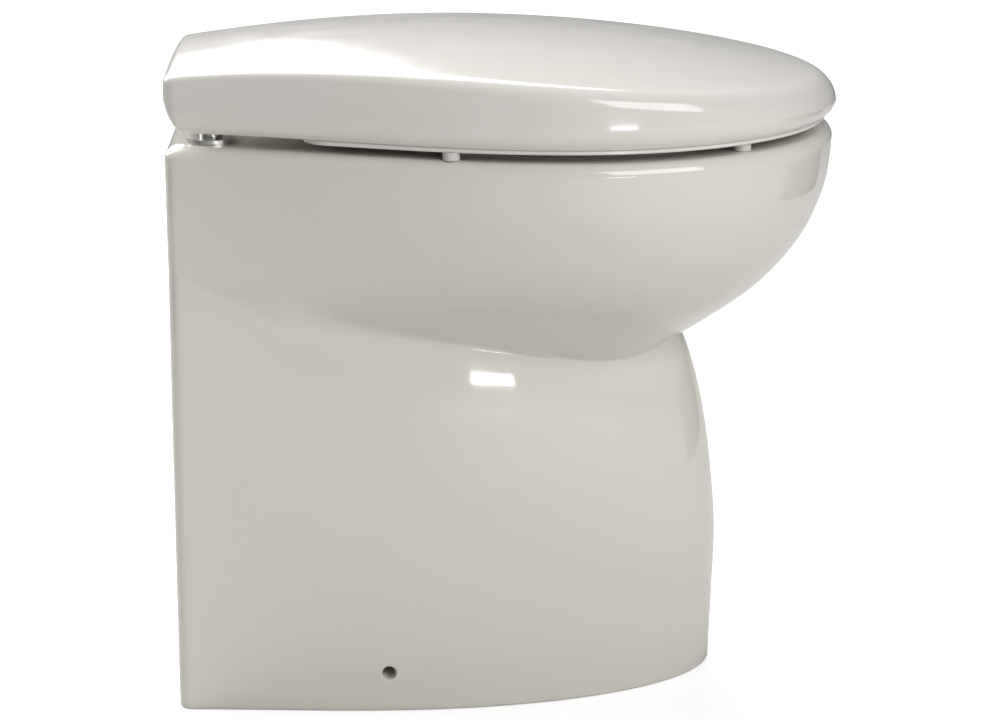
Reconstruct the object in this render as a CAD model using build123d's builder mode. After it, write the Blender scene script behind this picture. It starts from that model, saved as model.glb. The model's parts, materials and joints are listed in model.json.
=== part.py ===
from build123d import *
import math
import os

# Electric marine toilet: a china bowl with its own skirt, a hinged seat and lid,
# and a macerator pump and a rinse pump in the hollow behind the bowl.
# Millimetres. X is left to right, -Y is the front, +Z is up.
# The origin is on the floor, midway between the tip of the lid and the flat back.

# Overall sizes
overall_depth = 485.0
overall_width = 366.0
nose_length = 195.0
rear_width = 204.0
rim_height = 417.0
back = overall_depth / 2
tip = -overall_depth / 2
widest = tip + nose_length
side_draw_share = 1.25
overrun = 2.0

# Lid
lid_gap = 0.4
crown_rise = 57.4
crown_back_drop = 13.5
crown_tip_drop = 32.6
lid_wall = 3.2
lid_skirt_wall = 4.0
lid_top_round = 9.0
lid_corner = 12.0
lid_edge_tuck = 7.0
lid_end_round = 13.0
lug_inset = 9.5

# Seat
seat_gap = 6.0
seat_flange = 3.2
seat_thickness = 23.0
seat_edge_inset = 8.5
seat_body_inset = 12.8
seat_back_from_back = 97.0
seat_back_corner = 26.0
seat_round = 7.0
seat_overhang_side = 5.0
seat_overhang_end = 6.0
rest_gap = 0.3

# Buffers
seat_buffer_diameter = 12.0
lid_buffer_diameter = 14.0
lid_buffer_front_from_tip = 74.5
lid_buffer_front_inset = 60.0
lid_buffer_rear_from_back = 152.5
lid_buffer_rear_inset = 79.0
seat_buffer_front_from_tip = 84.5
seat_buffer_front_inset = 22.0
seat_buffer_rear_from_back = 198.5
seat_buffer_rear_inset = 28.0

# Hinge
axis_from_back = 8.5
axis_drop = 27.0
knuckle_radius = 4.5
hinge_pin_radius = 2.5
running_clearance = 0.05
post_from_back = 32.0
post_base_radius = 17.0
post_base_height = 3.5
post_radius = 8.0
post_top_rise = 6.0
nose_width = 10.0
arm_gap = 1.5
arm_root_radius = 8.0
arm_width = 13.0
lug_width = 6.0
stud_radius = 4.0
stud_length = 52.0
stud_grip = 12.0
stud_hole_radius = 7.0
stud_washer_radius = 12.0
stud_washer_height = 5.0
wing_nut_radius = 7.5
wing_nut_height = 8.0
wing_reach = 15.0
wing_thickness = 3.0
wing_height = 11.0

# China
china_wall = 10.0
deck_thickness = 12.0
rim_round = 9.0
china_corner = 9.0
bowl_depth = 182.0
pedestal_setback = 85.0
pedestal_width = 222.0
pedestal_rear_width = 200.0
pedestal_widest_from_back = 165.0
pedestal_top_drop = 87.0
window_side_width = 25.0
window_drop = 87.0
side_hole_radius = 5.0
side_hole_height = 30.0
side_hole_from_back = 153.0
side_pad_half = 18.0

# Macerator pump, in line with the bowl's outlet
joint_gap = 3.5
sleeve_length = 32.0
rubber_wall = 4.0
clip_width = 8.0
clip_thickness = 1.2
clip_screw_width = 12.0
clip_screw_height = 7.0
inlet_stub_length = 16.0
pump_radius = 50.0
cutter_chamber_radius = 36.0
inlet_face = 4.0
inlet_depth = 22.0
cutter_plate_thickness = 3.0
cutter_plate_holes = 8
cutter_plate_hole_radius = 6.0
cutter_plate_ring_radius = 25.0
volute_radius = 42.0
volute_depth = 20.0
volute_back = 6.0
adapter_thickness = 8.0
tie_bolt_radius = 2.5
tie_bolt_ring_radius = 46.0
tie_bolt_turn = 15.0
tie_bolt_head_radius = 4.2
tie_bolt_head_height = 4.0
shaft_radius = 5.0
seal_radius = 11.0
cutter_radius = 32.0
cutter_hub_radius = 9.0
cutter_hub_length = 8.0
cutter_blade_width = 12.0
cutter_blade_thickness = 4.0
cutter_nut_radius = 8.0
cutter_nut_length = 6.0
impeller_radius = 38.0
impeller_hub_radius = 10.0
impeller_disc = 3.0
impeller_vanes = 5
impeller_vane_height = 9.0
impeller_vane_thickness = 3.0
impeller_clearance = 2.0
motor_radius = 42.0
motor_length = 46.0
motor_wall = 2.0
motor_cap_length = 10.0
magnet_thickness = 7.5
magnet_gap = 14.0
magnet_length = 36.0
armature_radius = 30.0
armature_length = 28.0
armature_slots = 8
armature_slot_width = 3.0
bearing_radius = 11.0
bearing_length = 6.0
cradle_width = 84.0
cradle_top_drop = 18.0
cradle_plate = 3.0
cradle_length = 26.0
foot_radius = 9.0
foot_height = 4.0
foot_offset = 29.0
strap_width = 12.0
strap_thickness = 1.4
terminal_width = 30.0
terminal_length = 28.0
terminal_height = 18.0
terminal_offset = 21.0
gland_radius = 6.0
gland_length = 11.0

# Discharge
outlet_offset = 32.0
outlet_radius = 12.7
outlet_bore_radius = 9.5
outlet_flange_radius = 18.0
outlet_flange_thickness = 4.0
outlet_rise = 62.0
valve_height = 28.0
valve_seat_radius = 14.0
valve_lip_width = 18.0
valve_lip_thickness = 4.0
discharge_rise = 60.0
discharge_bend_radius = 22.0
discharge_end_from_back = 2.5

# Rinse pump, above the macerator
rinse_x = 48.0
rinse_rise = 115.0
rinse_cover_thickness = 4.0
rinse_front_from_back = 118.5
rinse_head_radius = 27.0
rinse_head_length = 32.0
rinse_chamber_radius = 20.0
rinse_chamber_depth = 22.0
rinse_motor_radius = 24.0
rinse_motor_length = 66.0
rinse_motor_wall = 2.0
rinse_armature_radius = 16.0
rinse_armature_length = 40.0
rinse_shaft_radius = 3.0
rinse_bearing_radius = 8.0
rinse_hub_radius = 8.0
rinse_vanes = 6
rinse_vane_thickness = 2.6
rinse_tip_gap = 0.6
rinse_inlet_radius = 9.5
rinse_inlet_bore_radius = 7.0
rinse_inlet_drop = 45.0
rinse_inlet_bend_radius = 14.0
rinse_inlet_collar = 2.0
rinse_outlet_radius = 6.25
rinse_outlet_bore_radius = 4.5
rinse_outlet_length = 14.0
rinse_hose_wall = 2.7
rinse_hose_grip = 11.0
rinse_hose_bend_radius = 20.0
rinse_plate_thickness = 5.0
rim_elbow_reach = 17.0
rim_elbow_drop = 28.0
rim_elbow_bend_radius = 10.5
grommet_flange = 2.5

# Floor brackets inside the skirt
bracket_inset = 25.0
bracket_plate = 4.0
bracket_length = 36.0
bracket_height = 48.0
bracket_foot_width = 36.0
bracket_hole_radius = 3.25
bracket_hole_offset = 22.0

# Bowl well
rim_front_width = 51.0
rim_side_width = 65.0
rim_rear_depth = 134.0
lip_thickness = 9.0
lip_depth = 34.0
gallery_width = 16.0
well_wall = 9.0
sump_floor = 95.0
sump_radius = 30.0
sump_from_back = 200.0
horn_rise = 25.0
horn_radius = 28.0
horn_bore_radius = 22.0
horn_end_from_back = 138.0
rim_inlet_drop = 29.0
rim_inlet_radius = 8.5

# Heights worked out from the sizes above
bowl_bottom_height = rim_height - bowl_depth
pedestal_top_height = rim_height - pedestal_top_drop
window_height = rim_height - window_drop
rim_inlet_height = rim_height - rim_inlet_drop
seat_underside = rim_height + seat_gap
seat_top_height = seat_underside + seat_thickness
lid_edge_height = seat_underside + seat_flange + lid_gap
crown_height = lid_edge_height + crown_rise
axis_height = crown_height - axis_drop
post_top_height = axis_height + post_top_rise
horn_height = sump_floor + horn_rise
cradle_height = horn_height - foot_height - cradle_top_drop
outlet_top = horn_height + outlet_rise
discharge_height = outlet_top + discharge_rise
rinse_height = horn_height + rinse_rise

# Widths, depths and places worked out from the sizes above
post_spacing = rear_width - (lug_inset + lug_width + arm_gap + post_radius) * 2
window_width = pedestal_rear_width - window_side_width * 2
pedestal_depth = overall_depth - pedestal_setback
bracket_plane = pedestal_width / 2 - bracket_inset
opening_width = overall_width - rim_side_width * 2
opening_length = overall_depth - rim_front_width - rim_rear_depth
opening_centre = tip + rim_front_width + opening_length / 2
seat_hole_width = opening_width - seat_overhang_side * 2
seat_hole_length = opening_length - seat_overhang_end * 2
crown_from_back = overall_depth / (1 + math.sqrt(crown_tip_drop / crown_back_drop))
dome_reach = overall_depth - crown_from_back
dome_radius = (dome_reach**2 + crown_tip_drop**2) / (crown_tip_drop * 2)


def plan_section(height, half_width, rear_half_width, front, middle, rear, corner, end=None):
    """A plan section: a half ellipse in front, a drawn-in curve on each side, a straight back.

    With an end, the section stops there, short of the back."""
    run = (rear - middle) * side_draw_share
    with BuildSketch(Plane.XY.offset(height)) as section:
        with BuildLine():
            EllipticalCenterArc(
                (0, middle), half_width, middle - front, start_angle=180, arc_size=180
            )
            Spline(
                (half_width, middle),
                (rear_half_width, rear),
                tangents=((0, 1), (rear_half_width - half_width, run)),
            )
            Line((rear_half_width, rear), (-rear_half_width, rear))
            Spline(
                (-rear_half_width, rear),
                (-half_width, middle),
                tangents=((rear_half_width - half_width, -run), (0, -1)),
            )
        make_face()
        if end is not None:
            with Locations((0, end)):
                Rectangle(
                    half_width * 2,
                    rear - front,
                    align=(Align.CENTER, Align.MAX),
                    mode=Mode.INTERSECT,
                )
        fillet(section.vertices().group_by(Axis.Y)[-1], corner)
    return section.sketch


def lid_section(height, inset):
    """The lid's plan at a height, drawn in by the inset."""
    return plan_section(
        height,
        overall_width / 2 - inset,
        rear_width / 2 - inset,
        tip + inset,
        widest,
        back,
        lid_corner,
    )


def seat_section(height, inset):
    """The seat's plan at a height: the lid's plan, drawn in and cut off short of the hinge."""
    return plan_section(
        height,
        overall_width / 2 - inset,
        rear_width / 2 - inset,
        tip + inset,
        widest,
        back,
        seat_back_corner,
        end=back - seat_back_from_back,
    )


def buffer_places(front_from_tip, front_inset, rear_from_back, rear_inset):
    """Places of four buffers: two set in from the front curve, two set in from the sides."""
    share = 1 - front_from_tip / nose_length
    front_x = overall_width / 2 * math.sqrt(1 - share**2) - front_inset
    rear_x = overall_width / 2 - rear_inset
    front_y = tip + front_from_tip
    rear_y = back - rear_from_back
    return [(-front_x, front_y), (front_x, front_y), (-rear_x, rear_y), (rear_x, rear_y)]


def oval(height, half_width, half_length, centre):
    """An oval on a level plane."""
    with BuildSketch(Plane(origin=(0, centre, height))) as section:
        Ellipse(half_width, half_length)
    return section.sketch


def tube(radius, bore, start, end, centre_x, centre_z):
    """A straight tube along Y."""
    with BuildPart(Plane(origin=(centre_x, start, centre_z), z_dir=(0, 1, 0))) as shape:
        Cylinder(radius, end - start, align=(Align.CENTER, Align.CENTER, Align.MIN))
        if bore > 0:
            Cylinder(
                bore,
                end - start,
                align=(Align.CENTER, Align.CENTER, Align.MIN),
                mode=Mode.SUBTRACT,
            )
    return shape.part


def upright(radius, bore, bottom, top, centre_x, centre_y):
    """A straight tube along Z."""
    with BuildPart(Plane(origin=(centre_x, centre_y, bottom))) as shape:
        Cylinder(radius, top - bottom, align=(Align.CENTER, Align.CENTER, Align.MIN))
        if bore > 0:
            Cylinder(
                bore,
                top - bottom,
                align=(Align.CENTER, Align.CENTER, Align.MIN),
                mode=Mode.SUBTRACT,
            )
    return shape.part


def keep(part, name):
    """Labels a finished piece and writes it."""
    part.label = name
    export_step(part, f"parts/{name}.step")


os.makedirs("parts", exist_ok=True)

# China bowl: outer form of the bowl
# Each row: height below the rim, drawing in at the sides, at the front and at the back corners
bowl_drop_shares = (0.0, 0.18, 0.37, 0.5, 0.63, 0.75, 0.86, 1.0)
bowl_side_shares = (0.007, 0.014, 0.043, 0.075, 0.122, 0.188, 0.258, 0.355)
bowl_front_shares = (0.007, 0.015, 0.045, 0.085, 0.145, 0.225, 0.31, 0.41)
bowl_rear_shares = (0.01, 0.012, 0.02, 0.035, 0.07, 0.135, 0.24, 0.37)
pedestal_height_shares = (0.0, 0.15, 0.3, 0.48, 0.61, 0.73, 0.88, 1.0)
pedestal_width_shares = (0.98, 1.0, 1.0, 1.0, 0.985, 0.96, 0.9, 0.82)
pedestal_rear_shares = (0.985, 0.995, 1.0, 1.0, 1.0, 0.995, 0.985, 0.96)
pedestal_front_shares = (0.995, 1.0, 1.004, 0.993, 0.977, 0.952, 0.9, 0.85)


def bowl_sections(wall, bottom_trim, top_trim):
    """Sections of the bowl's outer form, drawn in by a wall."""
    sections = []
    for drop, side, front, rear in zip(
        bowl_drop_shares, bowl_side_shares, bowl_front_shares, bowl_rear_shares
    ):
        height = rim_height - top_trim - drop * (bowl_depth - bottom_trim - top_trim)
        sections.append(
            plan_section(
                height,
                overall_width / 2 - side * overall_width - wall,
                rear_width / 2 - rear * rear_width - wall,
                tip + front * overall_width + wall,
                widest,
                back - wall,
                china_corner,
            )
        )
    return sections


def pedestal_sections(wall, drop):
    """Sections of the pedestal's outer form, drawn in by a wall and lowered by a drop."""
    sections = []
    for place, width, rear, front in zip(
        pedestal_height_shares, pedestal_width_shares, pedestal_rear_shares, pedestal_front_shares
    ):
        sections.append(
            plan_section(
                place * pedestal_top_height - drop,
                pedestal_width / 2 * width - wall,
                pedestal_rear_width / 2 * rear - wall,
                back - pedestal_depth * front + wall,
                back - pedestal_widest_from_back,
                back - wall,
                china_corner,
            )
        )
    return sections


sump_centre = back - sump_from_back
horn_end = back - horn_end_from_back
gallery_half_width = opening_width / 2 + lip_thickness + gallery_width
gallery_half_length = opening_length / 2 + lip_thickness + gallery_width
lip_foot = rim_height - lip_depth
gallery_top = rim_height - deck_thickness - well_wall / 2
well_place_shares = (0.0, 0.12, 0.26, 0.4, 0.54, 0.67, 0.8, 1.0)
well_swell_shares = (1.0, 0.965, 0.82, 0.6, 0.34, 0.14, 0.04, 0.0)


def well_sections(wall, overlap):
    """Sections of the bowl's inside, grown by a wall, from under the lip to the sump."""
    sections = []
    for place, swell in zip(well_place_shares, well_swell_shares):
        sections.append(
            oval(
                lip_foot + overlap - place * (lip_foot + overlap - sump_floor + wall),
                sump_radius + wall + (gallery_half_width - sump_radius) * swell,
                sump_radius + wall + (gallery_half_length - sump_radius) * swell,
                sump_centre + (opening_centre - sump_centre) * swell,
            )
        )
    return sections


with BuildPart() as hollow:
    loft(bowl_sections(china_wall, china_wall, deck_thickness))
    loft(pedestal_sections(china_wall, overrun))
    with BuildSketch(Plane.XZ.offset(-back - overrun)):
        with Locations((0, window_height / 2)):
            Rectangle(window_width, window_height)
    extrude(amount=china_wall + overrun * 2)
    with BuildSketch(Plane.XY):
        with Locations((0, back)):
            Rectangle(window_width, china_wall * 2)
    extrude(amount=-overrun)

with BuildPart() as well_shell:
    loft(well_sections(well_wall, 0))
    with BuildSketch(Plane(origin=(0, opening_centre, lip_foot))):
        Ellipse(gallery_half_width + well_wall, gallery_half_length + well_wall)
    extrude(amount=rim_height - deck_thickness / 2 - lip_foot)
    add(tube(horn_radius, 0, sump_centre, horn_end, 0, horn_height))
    add(
        tube(
            rim_inlet_radius + well_wall,
            0,
            opening_centre + gallery_half_length,
            opening_centre + gallery_half_length + well_wall * 2,
            0,
            rim_inlet_height,
        )
    )

with BuildPart() as china:
    loft(bowl_sections(0, 0, 0))
    fillet(china.faces().sort_by(Axis.Z)[-1].edges(), rim_round)
    loft(pedestal_sections(0, 0))
    add(hollow.part - well_shell.part, mode=Mode.SUBTRACT)
    loft(well_sections(0, 0), mode=Mode.SUBTRACT)
    with BuildSketch(Plane(origin=(0, opening_centre, lip_foot))):
        Ellipse(opening_width / 2, opening_length / 2)
    extrude(amount=lip_depth + overrun, mode=Mode.SUBTRACT)
    with BuildSketch(Plane(origin=(0, opening_centre, lip_foot))):
        Ellipse(gallery_half_width, gallery_half_length)
        Ellipse(
            opening_width / 2 + lip_thickness,
            opening_length / 2 + lip_thickness,
            mode=Mode.SUBTRACT,
        )
    extrude(amount=gallery_top - lip_foot, mode=Mode.SUBTRACT)
    add(
        tube(horn_bore_radius, 0, sump_centre, horn_end + overrun, 0, horn_height),
        mode=Mode.SUBTRACT,
    )
    add(
        tube(
            rim_inlet_radius,
            0,
            opening_centre + gallery_half_length - gallery_width / 2,
            opening_centre + gallery_half_length + well_wall * 2 + overrun,
            0,
            rim_inlet_height,
        ),
        mode=Mode.SUBTRACT,
    )
    for side in (-1, 1):
        add(
            upright(
                stud_hole_radius,
                0,
                rim_height - deck_thickness - overrun,
                rim_height + overrun,
                side * post_spacing / 2,
                back - post_from_back,
            ),
            mode=Mode.SUBTRACT,
        )
        side_wall_y = back - side_hole_from_back
        with BuildSketch(Plane.YZ.offset(side * bracket_plane)):
            with Locations((side_wall_y, side_hole_height)):
                Rectangle(side_pad_half * 2, side_pad_half * 2)
        extrude(amount=side * (pedestal_width / 2 - china_wall / 2 - bracket_plane))
        with BuildSketch(Plane.YZ.offset(side * (bracket_plane - overrun))):
            with Locations((side_wall_y, side_hole_height)):
                Circle(side_hole_radius)
        extrude(amount=side * pedestal_width, mode=Mode.SUBTRACT)
keep(china.part, "china_bowl")

# Lid: a domed shell with a deep edge, open at the back, with two hinge lugs
lid_rise_shares = (0.0, 0.06, 0.14, 0.23, 0.47, 0.72, 1.0)
lid_tuck_shares = (1.0, 0.5, 0.15, 0.0, 0.08, 0.3, 0.7)
axis_y = back - axis_from_back
post_y = back - post_from_back
dome_centre = (0, back - crown_from_back, crown_height - dome_radius)
lid_rise = crown_height + overrun - lid_edge_height


def lid_sections(wall, drop):
    """Sections of the lid's outer form, drawn in by a wall and started lower by a drop."""
    sections = []
    for place, tuck in zip(lid_rise_shares, lid_tuck_shares):
        height = lid_edge_height + place * lid_rise - drop * (1 - place)
        sections.append(lid_section(height, lid_edge_tuck * tuck + wall))
    return sections


with BuildPart() as lid_solid:
    loft(lid_sections(0, 0))
    with Locations(dome_centre):
        Sphere(dome_radius, mode=Mode.INTERSECT)
    fillet(lid_solid.faces().sort_by(Axis.Z)[-1].edges(), lid_top_round)
    with BuildSketch(Plane.YZ.offset(-overall_width / 2)):
        with Locations((back, lid_edge_height)):
            Rectangle(lid_end_round * 2, lid_end_round * 2)
        with Locations((back - lid_end_round, lid_edge_height + lid_end_round)):
            Circle(lid_end_round, mode=Mode.SUBTRACT)
            Rectangle(
                lid_end_round * 2,
                lid_end_round * 2,
                align=(Align.MAX, Align.CENTER),
                mode=Mode.SUBTRACT,
            )
            Rectangle(
                lid_end_round * 2,
                lid_end_round * 2,
                align=(Align.CENTER, Align.MIN),
                mode=Mode.SUBTRACT,
            )
    extrude(amount=overall_width, mode=Mode.SUBTRACT)

with BuildPart() as lid_hollow:
    loft(lid_sections(lid_skirt_wall, overrun))
    with BuildSketch(Plane.XY.offset(lid_edge_height - overrun)):
        with Locations((0, back)):
            Rectangle((rear_width - lid_corner * 2), lid_corner * 4)
    extrude(amount=lid_rise + overrun)
    with Locations(dome_centre):
        Sphere(dome_radius - lid_wall, mode=Mode.INTERSECT)

lug_inner = post_spacing / 2 + post_radius + arm_gap
with BuildPart() as lugs:
    for side in (-1, 1):
        with BuildSketch(Plane.YZ.offset(side * (lug_inner + lug_width / 2))):
            with Locations((axis_y, axis_height)):
                Circle(knuckle_radius)
                Rectangle(
                    knuckle_radius * 2,
                    crown_height - axis_height,
                    align=(Align.CENTER, Align.MIN),
                )
        extrude(amount=lug_width / 2, both=True)
    add(lid_solid.part, mode=Mode.INTERSECT)

lug_outer = lug_inner + lug_width + overrun
with BuildPart() as lid:
    add(lid_solid.part)
    add(lid_hollow.part, mode=Mode.SUBTRACT)
    add(lugs.part)
    with BuildSketch(Plane.YZ.offset(-lug_outer)):
        with Locations((axis_y, axis_height)):
            Circle(hinge_pin_radius + running_clearance)
    extrude(amount=lug_outer * 2, mode=Mode.SUBTRACT)
keep(lid.part, "lid_shell")

# Lid buffers: four soft pegs under the lid that stand on the seat
with BuildPart() as lid_buffers:
    with BuildSketch(Plane.XY.offset(seat_top_height + rest_gap)):
        with Locations(
            *buffer_places(
                lid_buffer_front_from_tip,
                lid_buffer_front_inset,
                lid_buffer_rear_from_back,
                lid_buffer_rear_inset,
            )
        ):
            Circle(lid_buffer_diameter / 2)
    extrude(amount=crown_height - seat_top_height)
    with Locations(dome_centre):
        Sphere(dome_radius - lid_wall, mode=Mode.INTERSECT)
keep(lid_buffers.part, "lid_buffers")

# Seat: an open ring inside the lid's edge, with two arms that reach back to the hinge
seat_back = back - seat_back_from_back
arm_outer = post_spacing / 2 - post_radius - arm_gap
with BuildPart() as seat:
    add(seat_section(seat_underside + seat_flange, seat_body_inset))
    extrude(amount=seat_top_height - seat_underside - seat_flange)
    with BuildSketch(Plane.XY.offset(seat_underside + seat_flange)):
        with Locations((0, opening_centre)):
            Ellipse(seat_hole_width / 2, seat_hole_length / 2)
    extrude(amount=seat_top_height - seat_underside, mode=Mode.SUBTRACT)
    fillet(seat.faces().sort_by(Axis.Z)[-1].edges(), seat_round)
    add(seat_section(seat_underside, seat_edge_inset))
    extrude(amount=seat_flange)
    with BuildSketch(Plane.XY.offset(seat_underside)):
        with Locations((0, opening_centre)):
            Ellipse(seat_hole_width / 2, seat_hole_length / 2)
    extrude(amount=seat_flange, mode=Mode.SUBTRACT)
    for side in (-1, 1):
        with BuildSketch(Plane.YZ.offset(side * (arm_outer - arm_width / 2))) as arm:
            with Locations((axis_y, axis_height)):
                Circle(knuckle_radius)
            with Locations((seat_back - arm_root_radius * 2, seat_underside + arm_root_radius)):
                Circle(arm_root_radius)
            make_hull()
        extrude(amount=arm_width / 2, both=True)
    with BuildSketch(Plane.YZ.offset(-overall_width / 2)):
        with Locations((axis_y, axis_height)):
            Circle(hinge_pin_radius + running_clearance)
    extrude(amount=overall_width, mode=Mode.SUBTRACT)
keep(seat.part, "seat_ring")

# Seat buffers: four soft pads under the seat
with BuildPart() as seat_buffers:
    with BuildSketch(Plane.XY.offset(rim_height + rest_gap)):
        with Locations(
            *buffer_places(
                seat_buffer_front_from_tip,
                seat_buffer_front_inset,
                seat_buffer_rear_from_back,
                seat_buffer_rear_inset,
            )
        ):
            Circle(seat_buffer_diameter / 2)
    extrude(amount=seat_underside - rim_height - rest_gap)
keep(seat_buffers.part, "seat_buffers")

# Hinge posts: a round base on the china, a pillar, and a nose that carries the pin
for side, name in ((-1, "left"), (1, "right")):
    post_x = side * post_spacing / 2
    with BuildPart(Plane(origin=(post_x, post_y, rim_height))) as post:
        Cylinder(
            post_base_radius, post_base_height, align=(Align.CENTER, Align.CENTER, Align.MIN)
        )
        Cylinder(
            post_radius,
            post_top_height - rim_height,
            align=(Align.CENTER, Align.CENTER, Align.MIN),
        )
        Cylinder(
            stud_radius + running_clearance,
            stud_grip,
            align=(Align.CENTER, Align.CENTER, Align.MIN),
            mode=Mode.SUBTRACT,
        )
        with BuildSketch(Plane.YZ.offset(post_x)):
            with Locations((axis_y, axis_height)):
                Circle(knuckle_radius)
                Rectangle(
                    axis_y - post_y, knuckle_radius * 2, align=(Align.MAX, Align.CENTER)
                )
        extrude(amount=nose_width / 2, both=True)
        with BuildSketch(Plane.YZ.offset(post_x)):
            with Locations((axis_y, axis_height)):
                Circle(hinge_pin_radius + running_clearance)
        extrude(amount=nose_width, both=True, mode=Mode.SUBTRACT)
    keep(post.part, f"{name}_hinge_post")

    pin_inner = arm_outer - arm_width
    pin_outer = lug_inner + lug_width
    with BuildPart() as pin:
        with BuildSketch(Plane.YZ.offset(side * (pin_inner + pin_outer) / 2)):
            with Locations((axis_y, axis_height)):
                Circle(hinge_pin_radius)
        extrude(amount=(pin_outer - pin_inner) / 2, both=True)
    keep(pin.part, f"{name}_hinge_pin")

# Hinge fixings under the deck: studs, rubber washers and wing nuts
deck_underside = rim_height - deck_thickness
nut_top = deck_underside - stud_washer_height
with BuildPart() as studs:
    for side in (-1, 1):
        add(
            upright(
                stud_radius,
                0,
                rim_height + stud_grip - stud_length,
                rim_height + stud_grip,
                side * post_spacing / 2,
                post_y,
            )
        )
keep(studs.part, "hinge_studs")
with BuildPart() as washers:
    for side in (-1, 1):
        add(
            upright(
                stud_washer_radius,
                stud_radius + running_clearance,
                nut_top,
                deck_underside,
                side * post_spacing / 2,
                post_y,
            )
        )
keep(washers.part, "hinge_washers")
with BuildPart() as wing_nuts:
    for side in (-1, 1):
        with BuildSketch(Plane(origin=(side * post_spacing / 2, post_y, nut_top))):
            Circle(wing_nut_radius)
        extrude(amount=-wing_nut_height)
        with BuildSketch(
            Plane(origin=(side * post_spacing / 2, post_y, nut_top - wing_nut_height / 2))
        ):
            SlotOverall(wing_reach * 2, wing_thickness, rotation=90)
        extrude(amount=-wing_height)
        with BuildSketch(Plane(origin=(side * post_spacing / 2, post_y, nut_top))):
            Circle(stud_radius + running_clearance)
        extrude(amount=-wing_nut_height - wing_height, mode=Mode.SUBTRACT)
keep(wing_nuts.part, "hinge_wing_nuts")

# Floor brackets: angle plates screwed to the floor, level with the side fixing holes
for side, name in ((-1, "left"), (1, "right")):
    with BuildPart() as bracket:
        with BuildSketch(Plane.YZ.offset(side * bracket_plane)):
            with Locations((side_wall_y, bracket_height / 2)):
                RectangleRounded(bracket_length, bracket_height, bracket_plate / 2)
        extrude(amount=-side * bracket_plate)
        with BuildSketch(Plane.XY):
            with Locations((side * (bracket_plane - bracket_foot_width / 2), side_wall_y)):
                Rectangle(bracket_foot_width, bracket_length)
        extrude(amount=bracket_plate)
        with BuildSketch(Plane.YZ.offset(side * (bracket_plane - bracket_plate - overrun))):
            with Locations((side_wall_y, side_hole_height)):
                Circle(side_hole_radius)
        extrude(amount=side * (bracket_plate + overrun * 2), mode=Mode.SUBTRACT)
        with BuildSketch(Plane.XY):
            with Locations((side * (bracket_plane - bracket_hole_offset), side_wall_y)):
                Circle(bracket_hole_radius)
        extrude(amount=bracket_plate, mode=Mode.SUBTRACT)
    keep(bracket.part, f"{name}_floor_bracket")

# Outlet sleeve and its clips: rubber, over the china's outlet and the pump's inlet stub
stub_start = horn_end + joint_gap
inlet_start = stub_start + inlet_stub_length
sleeve_start = horn_end + joint_gap / 2 - sleeve_length / 2
sleeve_end = sleeve_start + sleeve_length
sleeve_radius = horn_radius + running_clearance + rubber_wall
keep(
    tube(
        sleeve_radius, horn_radius + running_clearance, sleeve_start, sleeve_end, 0, horn_height
    ),
    "outlet_sleeve",
)


def clip_along_y(radius, start, centre_x, centre_z):
    """A hose clip round a pipe that runs along Y: a band with its screw block on top."""
    inner = radius + running_clearance
    with BuildPart(Plane(origin=(centre_x, start, centre_z), z_dir=(0, 1, 0))) as clip:
        Cylinder(
            inner + clip_thickness, clip_width, align=(Align.CENTER, Align.CENTER, Align.MIN)
        )
        with BuildSketch(Plane.XZ.offset(-start)):
            with Locations((centre_x, centre_z + inner + clip_screw_height / 2)):
                RectangleRounded(clip_screw_width, clip_screw_height, clip_thickness)
        extrude(amount=-clip_width)
        Cylinder(
            inner,
            clip_width,
            align=(Align.CENTER, Align.CENTER, Align.MIN),
            mode=Mode.SUBTRACT,
        )
    return clip.part


def clip_along_z(radius, bottom, centre_x, centre_y):
    """A hose clip round a pipe that runs along Z: a band with its screw block behind."""
    inner = radius + running_clearance
    with BuildPart() as clip:
        with BuildSketch(Plane(origin=(centre_x, centre_y, bottom))):
            Circle(inner + clip_thickness)
            with Locations((0, inner + clip_screw_height / 2)):
                RectangleRounded(clip_screw_width, clip_screw_height, clip_thickness)
            Circle(inner, mode=Mode.SUBTRACT)
        extrude(amount=clip_width)
    return clip.part


with BuildPart() as sleeve_clips:
    add(clip_along_y(sleeve_radius, sleeve_start + clip_thickness, 0, horn_height))
    add(clip_along_y(sleeve_radius, sleeve_end - clip_width - clip_thickness, 0, horn_height))
keep(sleeve_clips.part, "sleeve_clips")

# Macerator: inlet housing, cutter plate, pump body, adapter, shaft seal and tie bolts
inlet_end = inlet_start + inlet_depth
volute_end = inlet_end + volute_depth
body_end = volute_end + volute_back
adapter_end = body_end + adapter_thickness
can_end = adapter_end + motor_length
cap_end = can_end + motor_cap_length


def bolt_holes(start, end, radius):
    """Four cylinders along Y on the tie bolts' circle."""
    with BuildPart() as holes:
        with BuildSketch(Plane.XZ.offset(-start)):
            with Locations((0, horn_height)):
                with PolarLocations(tie_bolt_ring_radius, 4, start_angle=tie_bolt_turn):
                    Circle(radius)
        extrude(amount=start - end)
    return holes.part


with BuildPart() as inlet_housing:
    add(tube(horn_radius, 0, stub_start, inlet_start, 0, horn_height))
    add(tube(pump_radius, 0, inlet_start, inlet_end, 0, horn_height))
    add(
        tube(horn_bore_radius, 0, stub_start, inlet_start + inlet_face, 0, horn_height),
        mode=Mode.SUBTRACT,
    )
    add(
        tube(cutter_chamber_radius, 0, inlet_start + inlet_face, inlet_end, 0, horn_height),
        mode=Mode.SUBTRACT,
    )
    add(
        bolt_holes(inlet_start, inlet_end, tie_bolt_radius + running_clearance),
        mode=Mode.SUBTRACT,
    )
keep(inlet_housing.part, "macerator_inlet_housing")

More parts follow.
